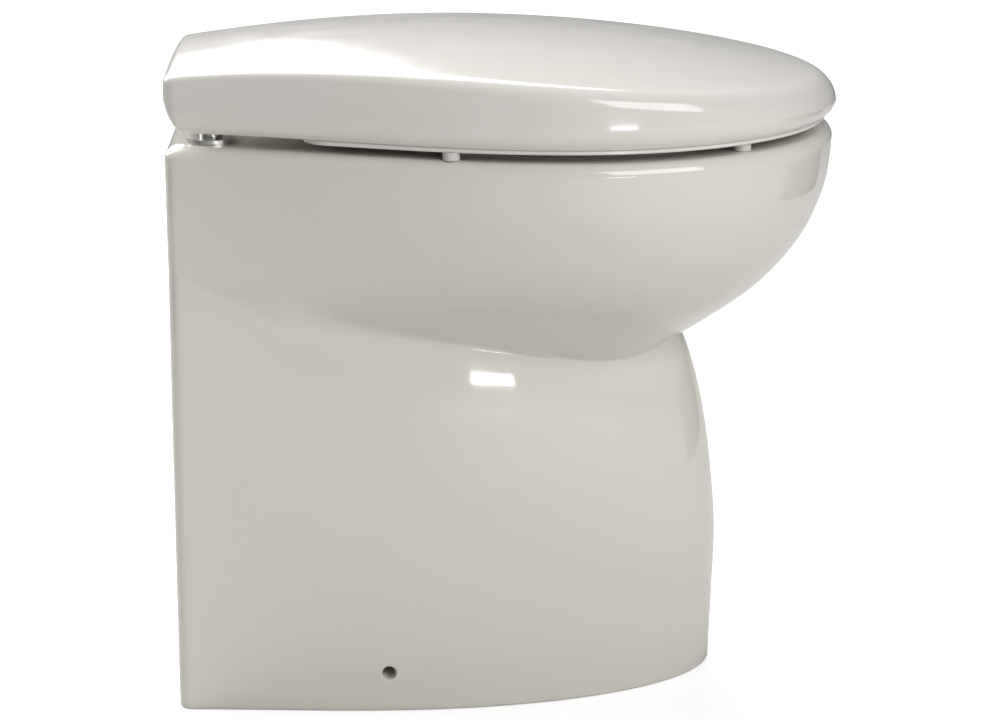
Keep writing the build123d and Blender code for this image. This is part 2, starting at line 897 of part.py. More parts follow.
with BuildPart() as cutter_plate:
    with BuildSketch(Plane.XZ.offset(-inlet_end)):
        with Locations((0, horn_height)):
            Circle(volute_radius - running_clearance)
            Circle(shaft_radius + joint_gap / 2, mode=Mode.SUBTRACT)
            with PolarLocations(cutter_plate_ring_radius, cutter_plate_holes):
                Circle(cutter_plate_hole_radius, mode=Mode.SUBTRACT)
    extrude(amount=-cutter_plate_thickness)
keep(cutter_plate.part, "fixed_cutter_plate")

with BuildPart() as pump_body:
    add(tube(pump_radius, 0, inlet_end, body_end, 0, horn_height))
    outlet_y = inlet_end + outlet_radius + rest_gap
    add(upright(outlet_radius, 0, horn_height, outlet_top, -outlet_offset, outlet_y))
    add(
        upright(
            outlet_flange_radius,
            0,
            outlet_top - outlet_flange_thickness,
            outlet_top,
            -outlet_offset,
            outlet_y,
        )
    )
    add(tube(volute_radius, 0, inlet_end, volute_end, 0, horn_height), mode=Mode.SUBTRACT)
    add(
        upright(outlet_bore_radius, 0, horn_height, outlet_top, -outlet_offset, outlet_y),
        mode=Mode.SUBTRACT,
    )
    add(
        tube(seal_radius + running_clearance, 0, volute_end, body_end, 0, horn_height),
        mode=Mode.SUBTRACT,
    )
    add(bolt_holes(inlet_end, body_end, tie_bolt_radius + running_clearance), mode=Mode.SUBTRACT)
keep(pump_body.part, "macerator_pump_body")

keep(
    tube(seal_radius, shaft_radius + running_clearance, volute_end, body_end, 0, horn_height),
    "shaft_seal",
)

with BuildPart() as adapter:
    add(tube(pump_radius, 0, body_end, adapter_end, 0, horn_height))
    add(
        tube(
            shaft_radius + joint_gap / 2, 0, body_end, adapter_end - bearing_length, 0, horn_height
        ),
        mode=Mode.SUBTRACT,
    )
    add(
        tube(
            bearing_radius + running_clearance,
            0,
            adapter_end - bearing_length,
            adapter_end,
            0,
            horn_height,
        ),
        mode=Mode.SUBTRACT,
    )
    add(
        bolt_holes(body_end, adapter_end, tie_bolt_radius + running_clearance),
        mode=Mode.SUBTRACT,
    )
keep(adapter.part, "motor_adapter")

with BuildPart() as tie_bolts:
    add(bolt_holes(inlet_start, adapter_end - overrun, tie_bolt_radius))
    add(bolt_holes(inlet_start - tie_bolt_head_height, inlet_start, tie_bolt_head_radius))
keep(tie_bolts.part, "tie_bolts")

# Macerator motor: can, magnets, bearings and end cap
keep(
    tube(motor_radius, motor_radius - motor_wall, adapter_end, can_end, 0, horn_height),
    "motor_can",
)
magnet_start = (adapter_end + can_end - magnet_length) / 2
magnet_radius = motor_radius - motor_wall - running_clearance
with BuildPart() as magnets:
    with BuildSketch(Plane.XZ.offset(-magnet_start)):
        with Locations((0, horn_height)):
            Circle(magnet_radius)
            Circle(magnet_radius - magnet_thickness, mode=Mode.SUBTRACT)
            Rectangle(magnet_gap, magnet_radius * 2, mode=Mode.SUBTRACT)
    extrude(amount=-magnet_length)
keep(magnets.part, "motor_magnets")
with BuildPart() as bearings:
    add(
        tube(
            bearing_radius,
            shaft_radius + running_clearance,
            adapter_end - bearing_length,
            adapter_end,
            0,
            horn_height,
        )
    )
    add(
        tube(
            bearing_radius,
            shaft_radius + running_clearance,
            can_end,
            can_end + bearing_length,
            0,
            horn_height,
        )
    )
keep(bearings.part, "motor_bearings")
with BuildPart() as end_cap:
    add(tube(motor_radius, 0, can_end, cap_end, 0, horn_height))
    add(
        tube(
            bearing_radius + running_clearance,
            0,
            can_end,
            can_end + bearing_length,
            0,
            horn_height,
        ),
        mode=Mode.SUBTRACT,
    )
    add(
        tube(
            shaft_radius + joint_gap / 2,
            0,
            can_end + bearing_length,
            cap_end - motor_wall,
            0,
            horn_height,
        ),
        mode=Mode.SUBTRACT,
    )
keep(end_cap.part, "motor_end_cap")

# Macerator rotor: shaft, cutter, its nut, impeller and armature
shaft_start = inlet_start + inlet_face + running_clearance
cutter_start = shaft_start + cutter_nut_length
cutter_bore = shaft_radius + running_clearance
impeller_start = inlet_end + cutter_plate_thickness + impeller_clearance
disc_start = impeller_start + impeller_vane_height
armature_start = (adapter_end + can_end - armature_length) / 2
keep(
    tube(shaft_radius, 0, shaft_start, can_end + bearing_length, 0, horn_height),
    "macerator_shaft",
)
with BuildPart() as cutter:
    with BuildSketch(Plane.XZ.offset(-cutter_start - cutter_hub_length / 2)):
        with Locations((0, horn_height)):
            SlotOverall(cutter_radius * 2, cutter_blade_width)
            SlotOverall(cutter_radius * 2, cutter_blade_width, rotation=90)
    extrude(amount=-cutter_blade_thickness)
    add(tube(cutter_hub_radius, 0, cutter_start, cutter_start + cutter_hub_length, 0, horn_height))
    add(
        tube(cutter_bore, 0, cutter_start, cutter_start + cutter_hub_length, 0, horn_height),
        mode=Mode.SUBTRACT,
    )
keep(cutter.part, "rotating_cutter")
with BuildPart() as cutter_nut:
    with BuildSketch(Plane.XZ.offset(-shaft_start)):
        with Locations((0, horn_height)):
            RegularPolygon(cutter_nut_radius, 6)
            Circle(cutter_bore, mode=Mode.SUBTRACT)
    extrude(amount=-cutter_nut_length)
keep(cutter_nut.part, "cutter_nut")
with BuildPart() as impeller:
    add(
        tube(
            impeller_hub_radius, 0, impeller_start, disc_start + impeller_disc, 0, horn_height
        )
    )
    add(tube(impeller_radius, 0, disc_start, disc_start + impeller_disc, 0, horn_height))
    with BuildSketch(Plane.XZ.offset(-impeller_start)):
        with Locations((0, horn_height)):
            with PolarLocations(impeller_radius / 2, impeller_vanes):
                Rectangle(impeller_radius, impeller_vane_thickness)
            Circle(impeller_radius - running_clearance, mode=Mode.INTERSECT)
    extrude(amount=-impeller_vane_height)
    add(
        tube(cutter_bore, 0, impeller_start, disc_start + impeller_disc, 0, horn_height),
        mode=Mode.SUBTRACT,
    )
keep(impeller.part, "macerator_impeller")
with BuildPart() as armature:
    with BuildSketch(Plane.XZ.offset(-armature_start)):
        with Locations((0, horn_height)):
            Circle(armature_radius)
            Circle(cutter_bore, mode=Mode.SUBTRACT)
            with PolarLocations(armature_radius, armature_slots):
                Rectangle(armature_radius, armature_slot_width, mode=Mode.SUBTRACT)
    extrude(amount=-armature_length)
keep(armature.part, "motor_armature")

# Motor cradle on rubber feet, strap, terminal box and cable gland
cradle_radius = motor_radius + rest_gap
cradle_middle = (adapter_end + can_end) / 2
with BuildPart() as cradle:
    for end in (-1, 1):
        plate_y = cradle_middle + end * cradle_length / 2
        with BuildSketch(Plane.XZ.offset(-plate_y)):
            with Locations((0, foot_height)):
                Rectangle(cradle_width, cradle_height, align=(Align.CENTER, Align.MIN))
            with Locations((0, horn_height)):
                Circle(cradle_radius, mode=Mode.SUBTRACT)
        extrude(amount=cradle_plate / 2, both=True)
    with BuildSketch(Plane(origin=(0, cradle_middle, foot_height))):
        Rectangle(cradle_width, cradle_length + foot_radius * 2)
    extrude(amount=cradle_plate)
keep(cradle.part, "motor_cradle")
with BuildPart() as feet:
    with BuildSketch(Plane(origin=(0, cradle_middle, 0))):
        with GridLocations(foot_offset * 2, cradle_length, 2, 2):
            Circle(foot_radius)
    extrude(amount=foot_height)
keep(feet.part, "rubber_feet")
strap_start = cradle_middle - strap_width / 2
with BuildPart() as terminal_box:
    with BuildSketch(Plane.XZ.offset(-cradle_middle + terminal_length / 2)):
        with Locations((-terminal_offset, horn_height + motor_radius + strap_thickness * 2)):
            RectangleRounded(terminal_width, terminal_height, strap_thickness)
    extrude(amount=-terminal_length)
    add(
        tube(
            cradle_radius + strap_thickness,
            0,
            adapter_end,
            can_end,
            0,
            horn_height,
        ),
        mode=Mode.SUBTRACT,
    )
keep(terminal_box.part, "motor_terminal_box")
keep(
    tube(
        motor_radius + running_clearance + strap_thickness,
        motor_radius + running_clearance,
        strap_start,
        strap_start + strap_width,
        0,
        horn_height,
    ),
    "motor_strap",
)
terminal_side = -terminal_offset - terminal_width / 2
terminal_level = horn_height + motor_radius + strap_thickness * 2
with BuildPart() as gland:
    with BuildSketch(Plane(origin=(terminal_side, cradle_middle, terminal_level), z_dir=(-1, 0, 0))):
        RegularPolygon(gland_radius, 6)
    extrude(amount=gland_length / 2)
    with BuildSketch(Plane(origin=(terminal_side, cradle_middle, terminal_level), z_dir=(-1, 0, 0))):
        Circle(gland_radius * 2 / 3)
    extrude(amount=gland_length)
keep(gland.part, "cable_gland")

# Discharge: non-return valve and its housing, and the elbow to the hose tail
valve_top = outlet_top + valve_height
with BuildPart() as valve_housing:
    add(upright(outlet_flange_radius, 0, outlet_top, valve_top, -outlet_offset, outlet_y))
    add(
        upright(
            valve_seat_radius,
            0,
            outlet_top,
            valve_top - outlet_flange_thickness,
            -outlet_offset,
            outlet_y,
        ),
        mode=Mode.SUBTRACT,
    )
    add(
        upright(
            outlet_bore_radius,
            0,
            valve_top - outlet_flange_thickness,
            valve_top,
            -outlet_offset,
            outlet_y,
        ),
        mode=Mode.SUBTRACT,
    )
keep(valve_housing.part, "valve_housing")
with BuildPart() as valve:
    add(
        upright(
            valve_seat_radius - running_clearance,
            0,
            outlet_top,
            outlet_top + outlet_flange_thickness,
            -outlet_offset,
            outlet_y,
        )
    )
    with BuildSketch(
        Plane(origin=(-outlet_offset, outlet_y, outlet_top + outlet_flange_thickness))
    ):
        Circle(outlet_bore_radius + motor_wall / 2)
    with BuildSketch(
        Plane(origin=(-outlet_offset, outlet_y, valve_top - outlet_flange_thickness * 2))
    ):
        Ellipse(valve_lip_width / 2, valve_lip_thickness / 2)
    loft()
    add(
        upright(
            outlet_bore_radius - motor_wall,
            0,
            outlet_top,
            outlet_top + outlet_flange_thickness,
            -outlet_offset,
            outlet_y,
        ),
        mode=Mode.SUBTRACT,
    )
keep(valve.part, "non_return_valve")


def swept_tube(points, radii, radius, bore, direction):
    """A pipe of straight runs joined by arcs."""
    with BuildPart() as pipe:
        with BuildLine() as route:
            FilletPolyline(*points, radius=radii)
        with BuildSketch(Plane(origin=points[0], z_dir=direction)):
            Circle(radius)
            Circle(bore, mode=Mode.SUBTRACT)
        sweep(path=route.wires()[0])
    return pipe.part


discharge_end = back - discharge_end_from_back
with BuildPart() as discharge:
    add(
        swept_tube(
            [
                (-outlet_offset, outlet_y, valve_top),
                (-outlet_offset, outlet_y, discharge_height),
                (-outlet_offset, discharge_end, discharge_height),
            ],
            discharge_bend_radius,
            outlet_radius,
            outlet_bore_radius,
            (0, 0, 1),
        )
    )
    add(
        upright(
            outlet_flange_radius,
            outlet_radius - running_clearance,
            valve_top,
            valve_top + outlet_flange_thickness,
            -outlet_offset,
            outlet_y,
        )
    )
keep(discharge.part, "discharge_elbow")

# Rinse pump: cover, head, motor and its rotor
rinse_front = back - rinse_front_from_back
head_start = rinse_front + rinse_cover_thickness
head_end = head_start + rinse_head_length
rinse_end = head_end + rinse_motor_length
port_y = head_start + rinse_chamber_depth / 2
inlet_level = rinse_height - rinse_inlet_drop
outlet_level = rinse_height + rinse_head_radius + rinse_outlet_length
keep(
    tube(rinse_head_radius, 0, rinse_front, head_start, rinse_x, rinse_height),
    "rinse_pump_cover",
)
with BuildPart() as rinse_head:
    add(tube(rinse_head_radius, 0, head_start, head_end, rinse_x, rinse_height))
    add(upright(rinse_outlet_radius, 0, rinse_height, outlet_level, rinse_x, port_y))
    add(
        tube(
            rinse_chamber_radius,
            0,
            head_start,
            head_start + rinse_chamber_depth,
            rinse_x,
            rinse_height,
        ),
        mode=Mode.SUBTRACT,
    )
    add(
        upright(rinse_outlet_bore_radius, 0, rinse_height, outlet_level, rinse_x, port_y),
        mode=Mode.SUBTRACT,
    )
    add(
        upright(
            rinse_inlet_bore_radius,
            0,
            rinse_height - rinse_head_radius - overrun,
            rinse_height,
            rinse_x,
            port_y,
        ),
        mode=Mode.SUBTRACT,
    )
    add(
        tube(
            rinse_bearing_radius + running_clearance,
            0,
            head_start + rinse_chamber_depth,
            head_end,
            rinse_x,
            rinse_height,
        ),
        mode=Mode.SUBTRACT,
    )
keep(rinse_head.part, "rinse_pump_head")
with BuildPart() as rinse_can:
    add(tube(rinse_motor_radius, 0, head_end, rinse_end, rinse_x, rinse_height))
    add(
        tube(
            rinse_motor_radius - rinse_motor_wall,
            0,
            head_end,
            rinse_end - rinse_motor_wall - bearing_length,
            rinse_x,
            rinse_height,
        ),
        mode=Mode.SUBTRACT,
    )
    add(
        tube(
            rinse_bearing_radius + running_clearance,
            0,
            rinse_end - rinse_motor_wall - bearing_length,
            rinse_end - rinse_motor_wall,
            rinse_x,
            rinse_height,
        ),
        mode=Mode.SUBTRACT,
    )
keep(rinse_can.part, "rinse_motor_can")
with BuildPart() as rinse_bearings:
    add(
        tube(
            rinse_bearing_radius,
            rinse_shaft_radius + running_clearance,
            head_start + rinse_chamber_depth,
            head_end,
            rinse_x,
            rinse_height,
        )
    )
    add(
        tube(
            rinse_bearing_radius,
            rinse_shaft_radius + running_clearance,
            rinse_end - rinse_motor_wall - bearing_length,
            rinse_end - rinse_motor_wall,
            rinse_x,
            rinse_height,
        )
    )
keep(rinse_bearings.part, "rinse_bearings")
keep(
    tube(
        rinse_shaft_radius,
        0,
        head_start + rest_gap,
        rinse_end - rinse_motor_wall - rest_gap,
        rinse_x,
        rinse_height,
    ),
    "rinse_shaft",
)
rinse_bore = rinse_shaft_radius + running_clearance
with BuildPart() as rinse_impeller:
    with BuildSketch(Plane.XZ.offset(-head_start - rinse_tip_gap)):
        with Locations((rinse_x, rinse_height)):
            Circle(rinse_hub_radius)
            with PolarLocations(rinse_chamber_radius / 2, rinse_vanes):
                Rectangle(rinse_chamber_radius, rinse_vane_thickness)
            Circle(rinse_chamber_radius - rinse_tip_gap, mode=Mode.INTERSECT)
            Circle(rinse_bore, mode=Mode.SUBTRACT)
    extrude(amount=rinse_tip_gap * 2 - rinse_chamber_depth)
keep(rinse_impeller.part, "rinse_impeller")
rinse_armature_start = head_end + (rinse_motor_length - rinse_armature_length) / 2
keep(
    tube(
        rinse_armature_radius,
        rinse_bore,
        rinse_armature_start,
        rinse_armature_start + rinse_armature_length,
        rinse_x,
        rinse_height,
    ),
    "rinse_armature",
)

# Rinse pipework: suction pipe to the back, hose up to the rim, rim elbow and grommet
bracket_back = can_end - foot_radius
collar_start = bracket_back + rest_gap
with BuildPart() as suction_pipe:
    add(
        swept_tube(
            [
                (rinse_x, port_y, rinse_height - rinse_head_radius),
                (rinse_x, port_y, inlet_level),
                (rinse_x, discharge_end, inlet_level),
            ],
            rinse_inlet_bend_radius,
            rinse_inlet_radius,
            rinse_inlet_bore_radius,
            (0, 0, -1),
        )
    )
    add(
        tube(
            rinse_inlet_radius + rinse_inlet_collar,
            rinse_inlet_bore_radius,
            collar_start,
            collar_start + rinse_inlet_collar,
            rinse_x,
            inlet_level,
        )
    )
keep(suction_pipe.part, "rinse_suction_pipe")
boss_end = opening_centre + gallery_half_length + well_wall * 2
boss_start = opening_centre + gallery_half_length - gallery_width / 2
elbow_y = boss_end + grommet_flange + rim_elbow_reach
elbow_bottom = rim_inlet_height - rim_elbow_drop
keep(
    swept_tube(
        [
            (0, boss_start + grommet_flange * 2, rim_inlet_height),
            (0, elbow_y, rim_inlet_height),
            (0, elbow_y, elbow_bottom),
        ],
        rim_elbow_bend_radius,
        rinse_outlet_radius,
        rinse_outlet_bore_radius,
        (0, 1, 0),
    ),
    "rim_inlet_elbow",
)
with BuildPart() as grommet:
    add(
        tube(
            rim_inlet_radius - running_clearance,
            rinse_outlet_radius + running_clearance,
            boss_start + gallery_width / 2,
            boss_end + grommet_flange,
            0,
            rim_inlet_height,
        )
    )
    add(
        tube(
            rim_inlet_radius + grommet_flange,
            rinse_outlet_radius + running_clearance,
            boss_end,
            boss_end + grommet_flange,
            0,
            rim_inlet_height,
        )
    )
keep(grommet.part, "rim_inlet_grommet")
hose_bore = rinse_outlet_radius + running_clearance
hose_radius = hose_bore + rinse_hose_wall
hose_start = outlet_level - rinse_hose_grip
hose_end = elbow_bottom + rinse_hose_grip
hose_run = rinse_hose_grip * 2 + overrun
keep(
    swept_tube(
        [
            (rinse_x, port_y, hose_start),
            (rinse_x, port_y, hose_start + hose_run),
            (0, elbow_y, hose_end - hose_run),
            (0, elbow_y, hose_end),
        ],
        rinse_hose_bend_radius,
        hose_radius,
        hose_bore,
        (0, 0, 1),
    ),
    "rinse_hose",
)
with BuildPart() as hose_clips:
    add(clip_along_z(hose_radius, hose_start + clip_thickness, rinse_x, port_y))
    add(clip_along_z(hose_radius, hose_end - clip_width - clip_thickness, 0, elbow_y))
keep(hose_clips.part, "rinse_hose_clips")

# Rinse pump bracket: a plate that stands on the macerator motor and carries both
with BuildPart() as rinse_bracket:
    with BuildSketch(Plane.XZ.offset(-bracket_back)):
        with Locations((rinse_x, horn_height)):
            Rectangle(
                (rinse_motor_radius + rinse_plate_thickness) * 2,
                rinse_height - horn_height,
                align=(Align.CENTER, Align.MIN),
            )
        with Locations((0, horn_height)):
            Circle(motor_radius + rest_gap, mode=Mode.SUBTRACT)
        with Locations((rinse_x, rinse_height)):
            Circle(rinse_motor_radius + rest_gap, mode=Mode.SUBTRACT)
        with Locations((rinse_x, inlet_level)):
            Circle(rinse_inlet_radius + rest_gap, mode=Mode.SUBTRACT)
    extrude(amount=rinse_plate_thickness)
keep(rinse_bracket.part, "rinse_pump_bracket")
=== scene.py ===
import json
import math

import bmesh
import bpy
import numpy as np
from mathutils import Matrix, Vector


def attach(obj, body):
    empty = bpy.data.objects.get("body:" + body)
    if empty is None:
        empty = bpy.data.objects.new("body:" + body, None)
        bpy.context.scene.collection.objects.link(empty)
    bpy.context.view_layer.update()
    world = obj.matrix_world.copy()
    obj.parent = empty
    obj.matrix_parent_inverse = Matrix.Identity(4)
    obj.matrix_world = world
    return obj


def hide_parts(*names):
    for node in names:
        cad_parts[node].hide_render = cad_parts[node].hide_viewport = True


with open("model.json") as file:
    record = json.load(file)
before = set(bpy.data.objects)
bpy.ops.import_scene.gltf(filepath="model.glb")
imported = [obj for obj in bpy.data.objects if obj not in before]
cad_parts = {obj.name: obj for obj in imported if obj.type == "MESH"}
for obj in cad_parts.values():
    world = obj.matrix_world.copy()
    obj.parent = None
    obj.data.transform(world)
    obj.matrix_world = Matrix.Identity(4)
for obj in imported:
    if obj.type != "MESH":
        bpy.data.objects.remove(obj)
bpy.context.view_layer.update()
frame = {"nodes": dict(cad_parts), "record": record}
nodes = frame["nodes"]
scene = bpy.context.scene

# Electric marine toilet. Lengths below are in millimetres, in the same frame as the CAD:
# X left to right, -Y the front, +Z up. build_mesh turns them into metres.
MM = 0.001

# Overall sizes
overall_depth = 485.0
overall_width = 366.0
widest_from_back = 290.0
rear_width = 204.0
lid_corner = 12.0
lid_edge_height = 426.6
lid_edge_tuck = 7.0
lid_end_round = 13.0
lid_wall = 3.2
lid_skirt_wall = 4.0
lug_width = 6.0
lug_edge = 0.6
crown_height = 484.0
crown_from_back = 189.9
dome_radius = 1351.94
seat_underside = 423.0
seat_flange = 3.2
seat_top_height = 446.0
seat_edge_inset = 8.5
seat_body_inset = 12.8
seat_back_from_back = 97.0
seat_back_corner = 26.0
seat_round = 7.0
seat_step = 1.0
flange_edge = 0.8
hole_edge = 1.5
seat_hole_width = 226.0
seat_hole_length = 288.0
axis_from_back = 8.5
axis_height = 457.0
knuckle_radius = 4.5
pin_bore_radius = 2.55
post_radius = 8.0
arm_gap = 1.5
arm_width = 13.0
arm_edge = 1.2
arm_root_radius = 8.0
rim_height = 417.0
back = overall_depth / 2
tip = -overall_depth / 2
widest = back - widest_from_back
side_draw_share = 1.25
overrun = 2.0

# China
china_wall = 10.0
deck_thickness = 12.0
rim_round = 9.0
china_corner = 9.0
foot_round = 2.5
bowl_bottom_height = 235.0
pedestal_depth = 400.0
pedestal_width = 222.0
pedestal_rear_width = 200.0
pedestal_widest_from_back = 165.0
pedestal_top_height = 330.0
window_width = 150.0
window_height = 330.0
window_corner = 6.0
window_edge = 3.0
side_hole_radius = 5.0
side_hole_edge = 1.3
side_hole_height = 30.0
side_hole_from_back = 153.0
bracket_plane = 86.0
side_pad_half = 18.0
post_spacing = 154.0
post_from_back = 32.0
stud_hole_radius = 7.0
stud_hole_edge = 1.5
opening_from_back = 284.0
opening_width = 236.0
opening_length = 300.0
lip_thickness = 9.0
lip_depth = 34.0
gallery_width = 16.0
channel_round = 4.0
well_wall = 9.0
sump_floor = 95.0
sump_radius = 30.0
sump_from_back = 200.0
sump_round = 14.0
horn_height = 120.0
horn_radius = 28.0
horn_bore_radius = 22.0
horn_end_from_back = 138.0
rim_inlet_height = 388.0
rim_inlet_radius = 8.5

# Outer form of the china: shares of its height and of its widths, as in the CAD
bowl_drop_shares = (0.0, 0.18, 0.37, 0.5, 0.63, 0.75, 0.86, 1.0)
bowl_side_shares = (0.007, 0.014, 0.043, 0.075, 0.122, 0.188, 0.258, 0.355)
bowl_front_shares = (0.007, 0.015, 0.045, 0.085, 0.145, 0.225, 0.31, 0.41)
bowl_rear_shares = (0.01, 0.012, 0.02, 0.035, 0.07, 0.135, 0.24, 0.37)
pedestal_height_shares = (0.0, 0.15, 0.3, 0.48, 0.61, 0.73, 0.88, 1.0)
pedestal_width_shares = (0.98, 1.0, 1.0, 1.0, 0.985, 0.96, 0.9, 0.82)
pedestal_rear_shares = (0.985, 0.995, 1.0, 1.0, 1.0, 0.995, 0.985, 0.96)
pedestal_front_shares = (0.995, 1.0, 1.004, 0.993, 0.977, 0.952, 0.9, 0.85)
well_place_shares = (0.0, 0.12, 0.26, 0.4, 0.54, 0.67, 0.8, 1.0)
well_swell_shares = (1.0, 0.965, 0.82, 0.6, 0.34, 0.14, 0.04, 0.0)
bowl_depth = rim_height - bowl_bottom_height
opening_centre = back - opening_from_back
sump_centre = back - sump_from_back
horn_end = back - horn_end_from_back
gallery_half_width = opening_width / 2 + lip_thickness + gallery_width
gallery_half_length = opening_length / 2 + lip_thickness + gallery_width
lip_foot = rim_height - lip_depth
gallery_top = rim_height - deck_thickness - well_wall / 2


# Curves
def hermite(u):
    """Weights of a cubic curve's start, of its end, and of its slopes at the two."""
    return 2 * u**3 - 3 * u**2 + 1, -2 * u**3 + 3 * u**2, u**3 - 2 * u**2 + u, u**3 - u**2


def smooth_table(places, values):
    """A smooth function through a few given points, with no overshoot."""
    x = np.array(places, float)
    y = np.array(values, float)
    step = np.diff(x)
    slope = np.diff(y) / step
    tangent = np.zeros(len(x))
    tangent[0] = slope[0]
    tangent[-1] = slope[-1]
    for i in range(1, len(x) - 1):
        if slope[i - 1] * slope[i] > 0:
            w1 = 2 * step[i] + step[i - 1]
            w2 = step[i] + 2 * step[i - 1]
            tangent[i] = (w1 + w2) / (w1 / slope[i - 1] + w2 / slope[i])

    def at(place):
        p = np.clip(place, x[0], x[-1])
        i = np.clip(np.searchsorted(x, p) - 1, 0, len(x) - 2)
        from_start, from_end, leave, arrive = hermite((p - x[i]) / step[i])
        start = from_start * y[i] + leave * step[i] * tangent[i]
        return start + from_end * y[i + 1] + arrive * step[i] * tangent[i + 1]

    return at


def plan(half_width, rear_half_width, front, middle, rear, corner, end=None):
    """The half of a plan section at x > 0, from the middle of the back to the tip of the front.

    With an end, the section stops there, short of the back."""
    n_back, n_corner, n_side, n_front = 12, 14, 60, 80
    rise = Vector((rear_half_width - half_width, (rear - middle) * side_draw_share)).normalized()
    chord = math.hypot(half_width - rear_half_width, rear - middle)
    from_start, from_end, leave, arrive = hermite(np.linspace(1, 0, n_side * 6))
    side_x = from_start * half_width + from_end * rear_half_width + arrive * chord * rise.x
    side_y = from_start * middle + leave * chord + from_end * rear + arrive * chord * rise.y
    if end is not None:
        start_x = np.interp(-end, -side_y, side_x)
        kept = side_y < end
        side_x = np.concatenate([[start_x], side_x[kept]])
        side_y = np.concatenate([[end], side_y[kept]])
    away = Vector((side_x[1] - side_x[0], side_y[1] - side_y[0])).normalized()
    turn = math.acos(-away.x)
    reach = corner / math.tan(turn / 2)
    gone = np.concatenate([[0], np.cumsum(np.hypot(np.diff(side_x), np.diff(side_y)))])
    join = [np.interp(reach, gone, side_x), np.interp(reach, gone, side_y)]
    edge_x = side_x[0] - reach
    a = np.linspace(0, 1, n_corner)[:, None]
    ends = np.array([[edge_x, side_y[0]], [side_x[0], side_y[0]], join])
    weight = math.sin(turn / 2)
    b0, b1, b2 = (1 - a) ** 2, 2 * a * (1 - a) * weight, a**2
    arc = (b0 * ends[0] + b1 * ends[1] + b2 * ends[2]) / (b0 + b1 + b2)
    line = np.stack([np.linspace(0, edge_x, n_back, endpoint=False), np.full(n_back, side_y[0])], 1)
    along = np.linspace(reach, gone[-1], n_side + 1)[1:]
    side = np.stack([np.interp(along, gone, side_x), np.interp(along, gone, side_y)], 1)
    t = np.linspace(0, math.pi / 2, n_front + 1)[1:]
    nose = np.stack([half_width * np.cos(t), middle - (middle - front) * np.sin(t)], 1)
    nose[-1, 0] = 0.0
    return np.concatenate([line, arc, side, nose])


def whole(half):
    """Closes a half loop: right side from the back to the tip, then the left side back."""
    mirrored = half[-2:0:-1] * np.array([-1.0, 1.0])
    return np.concatenate([half, mirrored])


def reach_from(points, centre_y, angles):
    """How far a half loop lies from the centre, at each angle from +Y."""
    x = points[:, 0]
    y = points[:, 1] - centre_y
    return np.interp(angles, np.arctan2(x, y), np.hypot(x, y))


def quarter_turns(count):
    """Angles of a quarter round, in even steps after its start."""
    return [step / count * math.pi / 2 for step in range(1, count + 1)]


def oval(half_width, half_length, centre, count=720):
    """Half of an oval, from its back to its front."""
    t = np.linspace(0, math.pi, count)
    return np.stack([half_width * np.sin(t), centre + half_length * np.cos(t)], 1)


# Meshes
smooth_angle = math.radians(32.0)


def finish_edges(thing):
    """Smooth shading, with sharp edges only where the surface really turns."""
    thing.data.shade_smooth()
    thing.data.set_sharp_from_angle(angle=smooth_angle)
    return thing


def build_mesh(name, points, faces, material):
    """A mesh object from points in millimetres, with its faces turned outward."""
    mesh = bpy.data.meshes.new(name)
    mesh.from_pydata((np.asarray(points) * MM).tolist(), [], faces)
    mesh.validate()
    form = bmesh.new()
    form.from_mesh(mesh)
    if form.calc_volume(signed=True) < 0:
        mesh.flip_normals()
    form.free()
    mesh.materials.append(material)
    thing = bpy.data.objects.new(name, mesh)
    scene.collection.objects.link(thing)
    return finish_edges(thing)


def skin(rows, ring=False):
    """Points and faces of a closed surface through loops of equal length.

    A ring's last loop meets its first; otherwise the ends are capped by fans."""
    rows = np.asarray(rows)
    n_rows, n = rows.shape[:2]
    points = rows.reshape(-1, 3)
    faces = []
    for i in range(n_rows if ring else n_rows - 1):
        low = i * n
        high = (i + 1) % n_rows * n
        for j in range(n):
            k = (j + 1) % n
            faces.append((low + j, low + k, high + k, high + j))
    if not ring:
        first = len(points)
        points = np.concatenate([points, [rows[0].mean(0)], [rows[-1].mean(0)]])
        last = (n_rows - 1) * n
        for j in range(n):
            k = (j + 1) % n
            faces.append((first, k, j))
            faces.append((first + 1, last + j, last + k))
    return points, faces


def skinned(name, rows, material, ring=False):
    """A mesh object through loops of points."""
    return build_mesh(name, *skin(rows, ring), material)


def level(loop, height):
    """A flat loop lifted to a height, or to a height for each point."""
    z = np.broadcast_to(np.asarray(height, float), (len(loop),))
    return np.column_stack([loop, z])


def combine(thing, tool, operation):
    """Applies a boolean between two closed meshes and deletes the tool."""
    modifier = thing.modifiers.new("cut", "BOOLEAN")
    modifier.operation = operation
    modifier.solver = "MANIFOLD"
    modifier.object = tool
    graph = bpy.context.evaluated_depsgraph_get()
    result = bpy.data.meshes.new_from_object(thing.evaluated_get(graph))
    thing.modifiers.clear()
    old = thing.data
    result.name = old.name
    thing.data = result
    bpy.data.meshes.remove(old)
    bpy.data.objects.remove(tool)
    return thing


# Materials
def feed(node, socket, value):
    """Links a value or pattern to a node's socket."""
    node.id_data.links.new(value, node.inputs[socket])


def put(node, socket, value):
    """Sets a node's socket to one value all over."""
    node.inputs[socket].default_value = value


def new_material(name):
    """A node material, its tree and its shader."""
    material = bpy.data.materials.new(name)
    material.use_nodes = True
    return material, material.node_tree, material.node_tree.nodes["Principled BSDF"]


def place_vector(tree):
    """Object coordinates: metres in the part's own frame."""
    return tree.nodes.new("ShaderNodeTexCoord").outputs["Object"]


